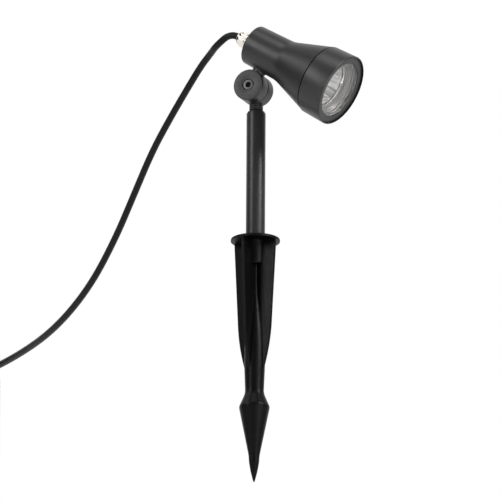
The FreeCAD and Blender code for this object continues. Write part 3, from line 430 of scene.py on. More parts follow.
def flexPoints(f):
    # control points: out of the gland, along the route, and round the coil
    points = [headPoint(f["mouthAlong"], 0, 0),
              headPoint(f["mouthAlong"] - f["firstRun"], 0, 0)]
    points += [Vector(p) for p in f["route"]]
    start = Vector(f["coilStart"])
    heading = (start - points[-1]).normalized()
    side = Vector((-heading.y, heading.x, 0)).normalized()
    straight = start + heading * 2 * f["radius"] * mm
    centre = straight + side * f["coilOuter"] * mm
    points += [start]
    halves = f["halvesIn"] + f["halvesOut"] + 1
    steps = int(halves * f["pointsPerTurn"] / 2)
    outward = 1 / math.cos(math.pi / f["pointsPerTurn"])    # the line runs inside its points
    for n in range(steps + 1):
        k = halves * n / steps
        radius, height = coilRing(k, f)
        angle = math.pi * k
        radial = -side * math.cos(angle) + heading * math.sin(angle)
        points.append(centre + radial * radius * mm * outward + Vector((0, 0, height * mm)))
    last = -side * math.cos(math.pi * halves)
    along = heading * math.cos(math.pi * halves)
    rise = Vector((0, 0, points[-1].z - centre.z))
    points[-1] = centre + last * coilRing(halves, f)[0] * mm + rise
    end = points[-1] + along * 2 * f["radius"] * mm
    points.append(end)
    return points, end, along


def splineCurve(name, points, radius):
    data = bpy.data.curves.new(name, "CURVE")
    data.dimensions = "3D"
    data.resolution_u = 8
    line = data.splines.new("NURBS")
    line.points.add(len(points) - 1)
    for spot, point in zip(line.points, points):
        spot.co = (*point, 1)
    line.order_u = 3
    line.use_endpoint_u = True
    data.bevel_depth = radius
    data.bevel_resolution = 5
    data.use_fill_caps = radius > 0
    piece = bpy.data.objects.new(name, data)
    scene.collection.objects.link(piece)
    return piece


def meshOfCurve(curve):
    # the curve itself is cleared away
    bpy.context.view_layer.update()
    made = curve.evaluated_get(bpy.context.evaluated_depsgraph_get())
    mesh = bpy.data.meshes.new_from_object(made)
    bpy.data.objects.remove(curve)
    return mesh


def makeFlex(f):
    points, end, along = flexPoints(f)
    line = meshOfCurve(splineCurve("flexLine", points, 0))
    path = [tuple(v.co) for v in line.vertices]
    mesh = meshOfCurve(splineCurve("flexTubeLine", points, f["radius"] * mm))
    mesh.name = "flex"
    mesh.materials.clear()
    mesh.shade_smooth()
    piece = placedPiece("flex", mesh, flexRubber)
    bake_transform(piece)
    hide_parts("power_cable", "cable_coil")
    return piece, path, end, along


flexPiece, flexPath, flexEnd, flexAlong = makeFlex(flex)


# the stripped end: three cores, each with a ferrule
strippedEnd = {
    "coreRadius": 1.05,
    "coreLength": 38.0,
    "ferruleRadius": 0.975,
    "ferruleLength": 8.0,
    "ferruleMouth": 0.35,   # the mouth's reach past the barrel
    "mouthSpan": (0.8, 1.1),
    "crimp": 0.12,
    "crimpSpan": (3.0, 3.2, 4.4, 4.6),
    "spots": ((-1.3, -0.75), (1.3, -0.75), (0.0, 1.5)),
    "sides": 24,
}


def makeStrippedEnd(f, end, along):
    side = along.cross(Vector((0, 0, 1)))
    starts = [end + side * across * mm + Vector((0, 0, up * mm)) for across, up in f["spots"]]
    length = f["coreLength"]
    pieces = []
    cores = (("brownCoreEnd", brownCore), ("blueCoreEnd", blueCore), ("earthCoreEnd", earthCore))
    turn = along.to_track_quat("X", "Z").to_matrix().to_4x4()
    for start, (name, finish) in zip(starts, cores):
        bm = bmesh.new()
        turned(bm, [(0, 0), (0, f["coreRadius"]), (length, f["coreRadius"], 0.3),
                    (length, 0)], Matrix.Translation(start) @ turn, sides=f["sides"])
        pieces.append(finishedPiece(bm, name, finish, "stem", ["cable_end_cores"]))
    bm = bmesh.new()
    r, mouth, crimp = f["ferruleRadius"], f["ferruleMouth"], f["crimp"]
    flare, neck = f["mouthSpan"]
    down, floorStart, floorEnd, up = f["crimpSpan"]
    barrel = [(0, 0), (0, r + mouth), (flare, r + mouth, 0.2), (neck, r), (down, r, 0.1),
              (floorStart, r - crimp), (floorEnd, r - crimp), (up, r, 0.1),
              (f["ferruleLength"], r, 0.3), (f["ferruleLength"], 0)]
    for start in starts:
        place = Matrix.Translation(start + along * length * mm) @ turn
        turned(bm, barrel, place, sides=f["sides"])
    pieces.append(finishedPiece(bm, "ferrules", zincPlate, "stem", ["core_ferrules"]))
    return pieces


endPieces = makeStrippedEnd(strippedEnd, flexEnd, flexAlong)
print("flex laid")


# ground spike: flange, socket, four fins and a round swelling core with a barbed point
spike = {
    "flangeRadius": 23.2,
    "flangeThick": 2.6,
    "socketRadius": 8.8,
    "socketLength": 22.3,
    "boreRadius": 6.05,
    "boreDepth": 18.5,
    "drainRadius": 3.2,
    "finCount": 4,
    "finThick": 2.6,
    "finEdge": 0.55,
    "finEdgeSteps": 4,
    "finTurn": -11.0,
    "finTop": 0.4,          # a little into the flange
    "finLength": 126.4,
    "finRows": 60,
    "finStraight": ((0.0, 22.9), (-76.0, 18.6)),
    "finCurve": ((-76.0, 18.6), (-105.0, 15.2), (-126.0, 9.7)),
    "coreSink": 0.5,        # the core starts this far inside the socket's wall
    "coreTopRadius": 3.0,
    "core": [
        (-48.0, 3.0, 6.0), (-92.0, 9.4, 14.0), (-118.0, 9.9, 8.0), (-148.0, 8.7, 4.0),
        (-161.0, 14.3, 0.8), (-162.6, 14.3, 0.8), (-209.0, 5.1, 4.0), (-214.7, 4.9, 3.0),
        (-224.5, 3.2, 2.0), (-234.3, 0.7, 0.5), (-234.3, 0.0),
    ],
}


def finReach(z, f):
    # a straight edge, then a curve through three points
    (z0, r0), (z1, r1) = f["finStraight"]
    if z >= z1:
        return r0 + (r1 - r0) * (z - z0) / (z1 - z0)
    total = 0
    for i, (zi, ri) in enumerate(f["finCurve"]):
        weight = 1
        for j, (zj, _) in enumerate(f["finCurve"]):
            if i != j:
                weight *= (z - zj) / (zi - zj)
        total += ri * weight
    return total


def addFin(bm, f, degrees):
    turn = Matrix.Rotation(math.radians(degrees), 4, "Z")
    half, edge = f["finThick"] / 2, f["finEdge"]
    count = f["finRows"]
    levels = [f["finTop"] - f["finLength"] * k / count for k in range(count + 1)]
    rows = []
    for z in levels:
        reach = finReach(min(z, 0), f)
        section = [(0, -half), (reach - edge, -half)]
        for k in range(1, f["finEdgeSteps"]):
            a = math.radians(-90 + 90 * k / f["finEdgeSteps"])
            section.append((reach - edge + edge * math.cos(a), -half + edge + edge * math.sin(a)))
        section.append((reach, -half + edge))
        section += [(r, -t) for r, t in reversed(section)]
        rows.append([bm.verts.new(turn @ Vector((r * mm, t * mm, z * mm))) for r, t in section])
    for a, b in zip(rows, rows[1:]):
        for k in range(len(a) - 1):
            bm.faces.new((a[k], a[k + 1], b[k + 1], b[k]))
    bm.faces.new(rows[0])
    bm.faces.new(rows[-1])


def makeSpike(f):
    bm = bmesh.new()
    bore, drain = f["boreRadius"], f["drainRadius"]
    top, low, stop = f["flangeThick"], -f["socketLength"], -f["boreDepth"]
    flangeR, socketR = f["flangeRadius"], f["socketRadius"]
    turned(bm, [(top, bore), (top, flangeR, 0.9), (0, flangeR, 0.5), (0, socketR, 0.5),
                (low, socketR, 1.4), (low, drain), (stop, drain), (stop, bore)],
           uprightMatrix, sides=128)
    coreTop = low + f["coreSink"]
    core = eased([(coreTop, 0), (coreTop, f["coreTopRadius"])] + f["core"], 8)
    polarRings(bm, core, uprightMatrix, sides=96, closed=False)
    for k in range(f["finCount"]):
        addFin(bm, f, f["finTurn"] + k * 360 / f["finCount"])
    finishedPiece(bm, "spikeMould", spikeMoulding, "spike", ["ground_spike"],
                  sharp=40)


makeSpike(spike)
print("spike made")


# pole, its top insert and the pan stem's rings
poleFacts = {
    "radius": 9.0,
    "inner": 7.5,
    "bottom": 2.6,
    "top": 126.2,
    "insertLength": 22,
    "collarRadius": 8.1,
    "collarThick": 1.3,
    "stemRadius": 5.05,
    "oringRadius": 5.9,
    "oringThick": 1.5,
    "oringGap": 0.25,
    "lockRadius": 6.5,
    "lockStart": 129.05,
    "lockThick": 3.8,
    "grooves": 3,
    "grooveHalf": 0.28,
    "grooveDepth": 0.25,
}


def makePole(f):
    bm = bmesh.new()
    turned(bm, [(f["bottom"], f["inner"]), (f["bottom"], f["radius"], 0.25),
                (f["top"], f["radius"], 0.9), (f["top"], f["inner"])], uprightMatrix)
    finishedPiece(bm, "poleTube", graphiteCoat, "spike", ["pole"])
    bm = bmesh.new()
    insertLow, collarTop = f["top"] - f["insertLength"], f["top"] + f["collarThick"]
    turned(bm, [(insertLow, f["stemRadius"]), (insertLow, f["inner"]), (f["top"], f["inner"]),
                (f["top"], f["collarRadius"], 0.15), (collarTop, f["collarRadius"], 0.35),
                (collarTop, f["stemRadius"])], uprightMatrix)
    finishedPiece(bm, "poleInsert", blackNylon, "spike", ["pole_top_insert"])
    bm = bmesh.new()
    oringTop, oringInner = collarTop + f["oringThick"], f["stemRadius"] + f["oringGap"]
    turned(bm, [(collarTop, oringInner), (collarTop, f["oringRadius"], 0.7),
                (oringTop, f["oringRadius"], 0.7), (oringTop, oringInner)], uprightMatrix,
           sides=64)
    finishedPiece(bm, "stemSeal", sealRubber, "spike", ["stem_oring"])
    bm = bmesh.new()
    low, high = f["lockStart"], f["lockStart"] + f["lockThick"]
    outer, half = f["lockRadius"], f["grooveHalf"]
    ring = [(low, f["stemRadius"]), (low, outer - 0.1, 0.4)]
    for k in range(f["grooves"]):
        at = low + (k + 1) * f["lockThick"] / (f["grooves"] + 1)
        ring += [(at - half, outer, 0.1), (at, outer - f["grooveDepth"], 0.1),
                 (at + half, outer, 0.1)]
    ring += [(high, outer - 0.1, 0.4), (high, f["stemRadius"])]
    turned(bm, ring, uprightMatrix)
    finishedPiece(bm, "panLockRing", blackNylon, "stem", ["lock_ring"])


makePole(poleFacts)
print("pole made")


# knuckle: the pole's disc with its neck, the head's disc with its boss, and the clamp screw
knuckle = {
    "radius": 15.0,
    "thick": 13.4,
    "edge": 0.75,
    "boreRadius": 3.05,
    "recessRadius": 5.5,    # for the clamp screw's head
    "recessDepth": 7.45,
    "pocketFlats": 10.3,    # for its nut
    "pocketDepth": 5.0,
    "neckRadius": 6.5,
    "neckBottom": 133.4,
    "neckStep": 135.6,
    "neckTop": 140.0,
    "stemRadius": 5.0,
    "stemBottom": 110.2,
    "bossRadius": 6.5,
    "bossSides": 64,
    "bossRows": ((0, 0), (0.5, 0), (0.8, 0), (0.92, 0.25), (1.0, 0.9)),    # height's share, flare
    "bossSink": 0.5,        # into the disc
    "bossInto": 0.05,       # and into the housing
    "backRadius": 19.2,
    "neckEnd": (36.0, 20.1),
}


def makeLowerKnuckle(f):
    bm = bmesh.new()
    half, r, edge = f["thick"] / 2, f["radius"], f["edge"]
    pocket = hexRadius(f["pocketFlats"])
    rings = eased([(-half, f["boreRadius"]), (-half, r - edge, 0.15), (-half + edge, r, 0.25),
                   (half - edge, r, 0.25), (half, r - edge, 0.15)])
    rings += [(half, pocket), (half - f["pocketDepth"], pocket),
              (half - f["pocketDepth"], f["boreRadius"])]
    polarRings(bm, rings, knuckleMatrix, sides=120, closed=True)
    low, top = f["stemBottom"], f["neckTop"]
    turned(bm, [(low, 0), (low, f["stemRadius"], 0.5), (f["neckBottom"], f["stemRadius"]),
                (f["neckBottom"], f["neckRadius"], 0.3), (f["neckStep"], f["neckRadius"], 0.4),
                (top, f["neckRadius"]), (top, 0)], uprightMatrix, sides=72)
    finishedPiece(bm, "poleKnuckle", graphiteCoat, "stem", ["lower_knuckle"])


def neckSkin(along, side, f):
    # the underside of the head's neck
    radius = f["backRadius"] + (f["neckEnd"][1] - f["backRadius"]) * along / f["neckEnd"][0]
    return -math.sqrt(radius * radius - side * side)


def makeUpperKnuckle(f):
    bm = bmesh.new()
    half, r, edge = f["thick"] / 2, f["radius"], f["edge"]
    across = Matrix.Translation((headAim["tiltAlong"] * mm, 0, -headAim["rise"] * mm))
    place = headMatrix @ across @ Matrix.Rotation(math.radians(90), 4, "Z")
    turned(bm, [(-half, f["recessRadius"], 0.2), (-half, r - edge, 0.15), (-half + edge, r, 0.25),
                (half - edge, r, 0.25), (half, r - edge, 0.15), (half, f["boreRadius"]),
                (-half + f["recessDepth"], f["boreRadius"]),
                (-half + f["recessDepth"], f["recessRadius"])], place, sides=128)
    rows = []
    sides = f["bossSides"]
    for share, flare in f["bossRows"]:
        row = []
        for k in range(sides):
            a = 2 * math.pi * k / sides
            reach = f["bossRadius"] + flare
            along = headAim["tiltAlong"] + reach * math.cos(a)
            side = reach * math.sin(a)
            inside = (r - f["bossSink"]) ** 2 - (reach * math.cos(a)) ** 2
            bottom = -headAim["rise"] + math.sqrt(max(0, inside))
            top = neckSkin(along, side, f) + f["bossInto"]
            row.append(bm.verts.new(headPoint(along, side, bottom + (top - bottom) * share)))
        rows.append(row)
    for a, b in zip(rows, rows[1:]):
        for k in range(sides):
            n = (k + 1) % sides
            bm.faces.new((a[k], a[n], b[n], b[k]))
    finishedPiece(bm, "headKnuckle", graphiteCoat, "head", ["upper_knuckle"],
                  sharp=40)


clampScrew = {
    "headRadius": 5.1,
    "headLength": 6.0,
    "headRound": 0.55,
    "faceInner": 3.6,       # where the head's flat face starts
    "shankRadius": 3.0,
    "shankChamfer": 0.4,
    "hexFlats": 5.0,
    "hexDepth": 3.0,
    "hexTurn": 12,
    "hexChamfer": 0.25,
    "front": -20.5,
    "end": 6.7,
}


def makeClampScrew(f):
    bm = bmesh.new()
    hole = hexRadius(f["hexFlats"], f["hexTurn"])
    start, chamfer, last = f["front"], f["hexChamfer"], f["shankChamfer"]
    rings = [(start + f["hexDepth"], 0), (start + f["hexDepth"], hole), (start + chamfer, hole)]
    rings += [(start, lambda angle: hole(angle) + chamfer)]
    rings += eased([(start, f["faceInner"]), (start, f["headRadius"], f["headRound"]),
                    (start + f["headLength"], f["headRadius"], 0.1)])[1:]
    rings += [(start + f["headLength"], f["shankRadius"]), (f["end"] - last, f["shankRadius"]),
              (f["end"], f["shankRadius"] - last), (f["end"], 0)]
    polarRings(bm, rings, knuckleMatrix, sides=96, closed=False)
    piece = finishedPiece(bm, "clampScrewBody", blackSteel, "stem", ["clamp_screw"])
    paintSocketShade(piece, f)


def paintSocketShade(piece, f):
    # painted shade: the socket's floor and walls are made near-black, as the shade inside the hole
    piece.data.materials.append(paintedSocketShade)
    mouth, floor = f["front"] + f["hexChamfer"] + 0.01, f["front"] + f["hexDepth"] + 0.5
    for face in piece.data.polygons:
        spot = face.center
        across = math.hypot(spot.x, spot.z - headAim["tiltHeight"] * mm)
        if across < (f["hexFlats"] / 2 + 0.5) * mm and mouth * mm < spot.y < floor * mm:
            face.material_index = 1


makeLowerKnuckle(knuckle)
makeUpperKnuckle(knuckle)
makeClampScrew(clampScrew)
print("knuckle made")


# lamp housing, its seam ring and the bezel
housing = {
    "backRadius": 19.2,
    "backRound": 1.6,
    "wall": 3.0,
    "glandHole": 6.05,
    "neckEnd": (36.0, 20.1),
    "waist": (2.9, 0.07, 4.4),    # past the neck's end, and how softly the cone starts there
    "coneEnd": (78.8, 33.25),
    "spigotRadius": 31.0,
    "spigotEnd": 96.9,
    "spigotBore": 27.6,
    "spigotBoreBack": 70.1,
    "neckBore": 16.8,
    "neckBoreEnd": 37.1,
    "seamSink": 2.0,
    "seamThick": 1.2,
}


def makeHousing(f):
    bm = bmesh.new()
    neckEnd, coneEnd, waist = f["neckEnd"], f["coneEnd"], f["waist"]
    turned(bm, [
        (0, f["glandHole"]),
        (0, f["backRadius"], f["backRound"]),
        (neckEnd[0] + waist[0], neckEnd[1] + waist[1], waist[2]),
        (coneEnd[0], coneEnd[1], 0.25),
        (coneEnd[0], f["spigotRadius"]),
        (f["spigotEnd"], f["spigotRadius"], 0.3),
        (f["spigotEnd"], f["spigotBore"]),
        (f["spigotBoreBack"], f["spigotBore"]),
        (f["neckBoreEnd"], f["neckBore"]),
        (f["wall"], f["neckBore"]),
        (f["wall"], f["glandHole"]),
    ], headMatrix, sides=160)
    finishedPiece(bm, "headHousing", graphiteCoat, "head", ["lamp_housing"])
    bm = bmesh.new()
    rear, front, outer = coneEnd[0], coneEnd[0] + f["seamThick"], coneEnd[1] - f["seamSink"]
    turned(bm, [(rear, f["spigotRadius"]), (rear, outer, 0.5), (front, outer, 0.5),
                (front, f["spigotRadius"])], headMatrix, sides=128)
    finishedPiece(bm, "seamRing", sealRubber, "head", ["seam_oring"])


bezelFacts = {
    "rear": 80.05,
    "front": 105.2,
    "rearRadius": 33.9,
    "frontRadius": 34.9,
    "edge": 0.8,
    "rimWidth": 0.6,
    "faceDepth": 1.7,
    "beadHigh": 0.4,
    "beadWide": 0.5,
    "beadDeep": 0.35,
    "shadeReach": (-0.65, 0.45),    # the black finish that paints the corner's shade, from the rim's inner wall
    "lipChamfer": 0.5,
    "lipRadius": 27.0,
    "lipThick": 2.5,
    "bore": 31.3,
    "seat": 30.5,
    "seatBack": 97.0,
}


def makeBezel(f):
    bm = bmesh.new()
    front, edge = f["front"], f["edge"]
    lip, face = front - f["lipThick"], front - f["faceDepth"]
    rimInner = f["frontRadius"] - edge - f["rimWidth"]
    turned(bm, [
        (f["rear"], f["bore"]),
        (f["rear"], f["rearRadius"], 0.25),
        (front - edge, f["frontRadius"], 0.25),
        (front, f["frontRadius"] - edge, 0.25),
        (front, rimInner, 0.2),
        (face, rimInner + f["beadHigh"]),
        (face - f["beadDeep"], rimInner + 0.1),
        (face, rimInner - f["beadWide"], 0.2),
        (face, f["lipRadius"] + f["lipChamfer"], 0.2),
        (face - f["lipChamfer"], f["lipRadius"], 0.1),
        (lip, f["lipRadius"]),
        (lip, f["seat"]),
        (f["seatBack"], f["seat"]),
        (f["seatBack"], f["bore"]),
    ], headMatrix, sides=160)
    piece = finishedPiece(bm, "bezelRing", graphiteCoat, "bezel", ["bezel"])
    # painted shade: the corner groove and the foot of the rim's inner wall take black rubber,
    # where shade falls
    fromReach, toReach = f["shadeReach"]
    finishFaces(piece, sealRubber, rimInner + fromReach, rimInner + toReach, face - 1.0,
                front - 0.25)


makeHousing(housing)
makeBezel(bezelFacts)
print("head made")


# front glass with its gasket
glassFacts = {
    "back": 97.85,
    "front": 101.85,
    "radius": 29.4,
    "edge": 0.5,
    "gasket": 0.8,
    "gasketInner": 27.3,
    "gasketRound": 0.3,
}


def makeGlass(f):
    bm = bmesh.new()
    back, front, r, edge = f["back"], f["front"], f["radius"], f["edge"]
    turned(bm, [(back, 0), (back, r, edge), (front, r, edge), (front, 0)], headMatrix,
           sides=128)
    finishedPiece(bm, "frontPane", frontGlassFinish, "glass_pack", ["front_glass"])
    bm = bmesh.new()
    g, inner, soft = f["gasket"], f["gasketInner"], f["gasketRound"]
    turned(bm, [(back - g, inner, soft), (back - g, r + g, soft), (front + g, r + g, soft),
                (front + g, inner, soft), (front, inner), (front, r), (back, r), (back, inner)],
           headMatrix, sides=128)
    finishedPiece(bm, "paneGasket", greySilicone, "glass_pack", ["glass_gasket"])


# the bright ring that centres the lamp
brightRing = {
    "start": 91.15,
    "end": 96.9,
    "frontRadius": 26.6,
    "coneBack": 93.6,
    "coneRadius": 25.0,
    "rearRadius": 21.4,
    "outer": 27.6,
    "steps": 2,
    "lip": 0.8,             # round the lamp; its bore takes a bright finish as a painted highlight
}


def makeBrightRing(f):
    bm = bmesh.new()
    wall = [(f["end"], f["frontRadius"], 0.15), (f["coneBack"], f["coneRadius"], 0.1)]
    for k in range(f["steps"]):
        # each step is a short wall, then a tread that faces the glass
        share = (k + 1) / f["steps"]
        u = f["coneBack"] + (f["start"] + f["lip"] - f["coneBack"]) * share
        r = f["coneRadius"] + (f["rearRadius"] - f["coneRadius"]) * k / f["steps"]
        nextR = f["coneRadius"] + (f["rearRadius"] - f["coneRadius"]) * share
        wall += [(u, r), (u, nextR, 0.08)]
    wall.append((f["start"], f["rearRadius"]))
    turned(bm, [(f["start"], f["outer"]), (f["end"], f["outer"])] + wall, headMatrix, sides=128)
    piece = finishedPiece(bm, "brightRingBody", spunAluminium, "head", ["lamp_ring"])
    # painted highlight: the lip's bore takes the bright mirror finish, for the bright arc round
    # the lamp
    finishFaces(piece, mirrorCoat, f["rearRadius"] - 0.2, f["rearRadius"] + 0.1,
                f["start"], f["start"] + f["lip"])


# the lamp's bowl, its fluted mirror and its cover
reflector = {
    "back": 65.5,
    "backRadius": 15.2,
    "rim": 87.1,
    "bowlRadius": 24.0,
    "rimRadius": 25.0,
    "face": 91.1,
    "wall": 1.0,
    "bulge": 1.4,
    "bulgeRound": 6.0,
    "lensRadius": 23.4,
    "lensBack": 88.9,
    "lensFront": 90.3,
    "lensFit": 0.1,
    "ledge": 0.5,           # under the cover
    "crown": 0.35,
    "crownInset": 0.25,
    "crownSteps": 8,
    "neck": 4.7,
    "mirrorBack": 67.1,
    "mirrorInset": 0.8,
    "mirrorGap": 0.15,      # behind the cover
    "rows": 6,
    "columns": 56,
    "flute": 0.30,
}


def makeBowl(f):
    bm = bmesh.new()
    back, rim, face, wall = f["back"], f["rim"], f["face"], f["wall"]
    middle = (rim + back) / 2
    bulge = (f["bowlRadius"] + f["backRadius"]) / 2 + f["bulge"]
    seat = f["lensRadius"] + f["lensFit"]
    turned(bm, [
        (back, f["neck"]), (back, f["backRadius"], 0.5), (middle, bulge, f["bulgeRound"]),
        (rim, f["bowlRadius"]), (rim, f["rimRadius"], 0.4),
        (face, f["rimRadius"], 0.5), (face, seat, 0.2),
        (f["lensBack"] - f["ledge"], seat), (rim - wall, f["lensRadius"] - 0.3),
        (middle, bulge - wall), (back + wall, f["backRadius"] - 1.6), (back + wall, f["neck"]),
    ], headMatrix)
    finishedPiece(bm, "lampBowl", mirrorCoat, "lamp", ["lamp_reflector"])


def mirrorRadius(t, f):
    # a parabola from the neck, t = 0, to the rim, t = 1
    return f["neck"] + (f["lensRadius"] - f["mirrorInset"] - f["neck"]) * math.sqrt(t)


def makeMirror(f):
    bm = bmesh.new()
    rows = []
    front, back = f["lensBack"] - f["mirrorGap"], f["mirrorBack"]
    n = f["columns"]
    for i in range(f["rows"] + 1):
        t = i / f["rows"]
        along = back + (front - back) * t
        radius = mirrorRadius(t, f)
        row = []
        for k in range(n):
            r = radius - f["flute"] * math.sqrt(t) * (k % 2)
            angle = 2 * math.pi * k / n
            row.append(bm.verts.new(headPoint(along, r * math.cos(angle), r * math.sin(angle))))
        rows.append(row)
    for i in range(f["rows"]):
        for k in range(n):
            a, b = rows[i][k], rows[i][(k + 1) % n]
            c, d = rows[i + 1][(k + 1) % n], rows[i + 1][k]
            if (i + k) % 2 == 0:    # the flats' diagonals change about
                bm.faces.new((a, b, d))
                bm.faces.new((b, c, d))
            else:
                bm.faces.new((a, c, d))
                bm.faces.new((a, b, c))
    finishedPiece(bm, "lampFacets", mirrorCoat, "lamp", ["lamp_reflector"],
                  sharp=3)


def makeLampCover(f):
    # one skin of glass, a little crowned
    bm = bmesh.new()
    front, r, crown, steps = f["lensFront"], f["lensRadius"], f["crown"], f["crownSteps"]
    dome = [(f["lensBack"], r), (front - crown, r)]
    inner = r - f["crownInset"]
    for k in range(1, steps):
        angle = math.pi / 2 * (k / steps)
        dome.append((front + crown * math.sin(angle), inner * math.cos(angle)))
    dome.append((front + crown, 0))
    polarRings(bm, dome, headMatrix, sides=96, closed=False)
    finishedPiece(bm, "lampCover", lampGlassFinish, "lamp", ["lamp_lens"])


makeGlass(glassFacts)
makeBrightRing(brightRing)
makeBowl(reflector)
makeMirror(reflector)
makeLampCover(reflector)
print("lamp made")


# cable gland: body with its hexagon, sealing ring, and the dome nut
gland = {
    "flats": 14.0,
    "turn": 15.0,
    "oringRadius": 7.4,
    "oringThick": 1.0,
    "hexLength": 5.0,
    "threadRadius": 6.0,
    "threadEnd": 6.8,
    "threadChamfer": 0.3,
    "bore": 3.55,
    "sealBore": 4.7,
    "sealFloor": -5.0,
    "neckRadius": 6.2,
    "neckLength": 3.4,
    "nutGap": 0.6,
    "nutHex": 5.6,
    "nutFit": 0.05,
    "dome": 5.2,
    "domeSteps": 8,
    "domeRound": 0.94,      # the share of the dome that is round
    "domeInset": 0.15,      # from the flats
    "mouth": 3.6,
    "mouthRound": (0.25, 0.2),    # along and across
    "mouthDepth": 2.3,
    "lip": 1.0,
    "lipRound": (0.12, 0.3),
    "nutFloor": 0.2,
}


def makeGland(f):
    bm = bmesh.new()
    seat, thread, end, neck = -f["oringThick"], f["threadRadius"], f["threadEnd"], f["neckRadius"]
    hexStart = seat - f["hexLength"]
    neckEnd = hexStart - f["neckLength"]
    chamfer, floor = f["threadChamfer"], f["sealFloor"]
    rings = [(end, f["bore"]), (end, thread - chamfer), (end - chamfer, thread), (seat, thread)]
    rings += hexagonRings(f["flats"], hexStart, seat, f["turn"])[::-1]
    rings += [(hexStart, neck), (neckEnd, neck), (neckEnd, f["sealBore"]), (floor, f["sealBore"]),
              (floor, f["bore"])]
    polarRings(bm, rings, headMatrix, sides=144, closed=True)
    finishedPiece(bm, "glandBody", nickelPlate, "head", ["gland_body"])
    bm = bmesh.new()
    nutFront = hexStart - f["nutGap"]
    nutBack = nutFront - f["nutHex"]
    tipEnd, mouth = nutBack - f["dome"], f["mouth"]
    rings = [(nutFront, neck + f["nutFit"])]
    rings += hexagonRings(f["flats"], nutBack, nutFront, f["turn"])[::-1]
    base, tip = f["flats"] / 2 - f["domeInset"], mouth + f["lip"]
    (lipAlong, lipAcross), (mouthAlong, mouthAcross) = f["lipRound"], f["mouthRound"]
    nutFloor = neckEnd - f["nutFloor"]
    for k in range(f["domeSteps"]):
        a = math.radians(90 * k / f["domeSteps"])
        rings.append((nutBack - f["dome"] * math.sin(a) * f["domeRound"],
                      tip + (base - tip) * math.cos(a)))
    rings += [(tipEnd + lipAlong, tip), (tipEnd, tip - lipAcross), (tipEnd, mouth + mouthAcross),
              (tipEnd + mouthAlong, mouth), (tipEnd + f["mouthDepth"], mouth), (nutFloor, tip),
              (nutFloor, neck + f["nutFit"])]
    polarRings(bm, rings, headMatrix, sides=144, closed=True)
    finishedPiece(bm, "glandDomeNut", nickelPlate, "head", ["gland_nut"])
    bm = bmesh.new()
    turned(bm, [(seat, thread), (seat, f["oringRadius"], 0.4), (0, f["oringRadius"], 0.4),
                (0, thread)], headMatrix, sides=72)
    finishedPiece(bm, "glandSealRing", sealRubber, "head", ["gland_oring"])


makeGland(gland)
print("gland made")


# the inner pieces keep their solids and get a finish and softened edges
innerFinishes = {
    "pole_foot_plug": blackNylon,
    "thrust_washer": blackSteel,
    "friction_washer": blackNylon,
    "spring_washer": blackSteel,
    "clamp_nut": zincPlate,
    "knuckle_bolt": zincPlate,
    "bolt_washer": zincPlate,
    "lamp_holder": glazedCeramic,
    "holder_contacts": brassPlain,
    "holder_screws": zincPlate,
    "holder_strap": zincPlate,
    "strap_screws": zincPlate,
    "terminal_block": blockNylon,
    "terminal_screws": brassPlain,
    "block_screw": zincPlate,
    "lamp_leads": sleeveWeave,
    "supply_cores": brownCore,
    "earth_core": earthCore,
    "earth_tag": brassPlain,
    "earth_screw": brassPlain,
    "gland_seal": sealRubber,
    "gland_locknut": nickelPlate,
    "cable_entry": flexRubber,
    "lamp_capsule": capsuleGlassFinish,
    "lamp_base": glazedCeramic,
    "lamp_pins": zincPlate,
}


softEdges = {
    "width": 0.12,
    "segments": 2,
    "sharperThan": 40,      # degrees
}


def dressNode(name, material, f):
    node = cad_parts[name]
    for place in node.material_slots:
        place.material = material
    if not node.material_slots:
        node.data.materials.append(material)
    soften = node.modifiers.new("softEdges", "BEVEL")
    soften.width = f["width"] * mm
    soften.segments = f["segments"]
    soften.limit_method = "ANGLE"
    soften.angle_limit = math.radians(f["sharperThan"])
    soften.harden_normals = False


for nodeName, finish in innerFinishes.items():
    dressNode(nodeName, finish, softEdges)
print("inner pieces dressed")


# studio, in metres: white paper world, a pale floor under the spike's point, and soft boxes
studio = {
    "floorHeight": -0.2355,
    "floorSize": 8.0,
    "floorShade": (0.80, 0.80, 0.80),
    "floorGloss": 0.85,                  # how far metal and glass see the floor as plain white
    "floorPale": 0.40,                   # and how far the camera does
    "plinthSpot": (-0.470, 0.322),       # the coil lies at ground level, on a round plinth
    "plinthRadius": 0.071,
    "plinthTop": -0.0004,
    "paperLight": 0.80,                  # from the paper behind the lamp
    "roomLight": 0.05,                   # from the dim room in front of it
    "paperToward": (-0.35, 0.87, 0.34),
    "paperEdge": (0.30, 0.92),
    "softBoxes": (
        # name, place, width, height, watts, spread in degrees
        ("leftBox", (-1.25, -2.0, 0.95), 0.6, 1.2, 17.0, 180),
        ("rightBox", (2.25, -0.40, 1.25), 0.7, 1.4, 8.5, 80),
        ("topBox", (0.2, -0.8, 2.3), 1.2, 1.0, 12.0, 180),
        ("glassBox", (0.62, -0.33, -0.15), 0.5, 0.3, 0.28, 60),
        ("coneBox", (-1.55, -0.90, 1.75), 0.8, 0.8, 7.0, 180),
        ("glandCard", (-0.24, -1.20, 1.25), 0.26, 0.26, 0.26, 180),
    ),
    "aimedAt": (0.02, 0.0, 0.05),
}


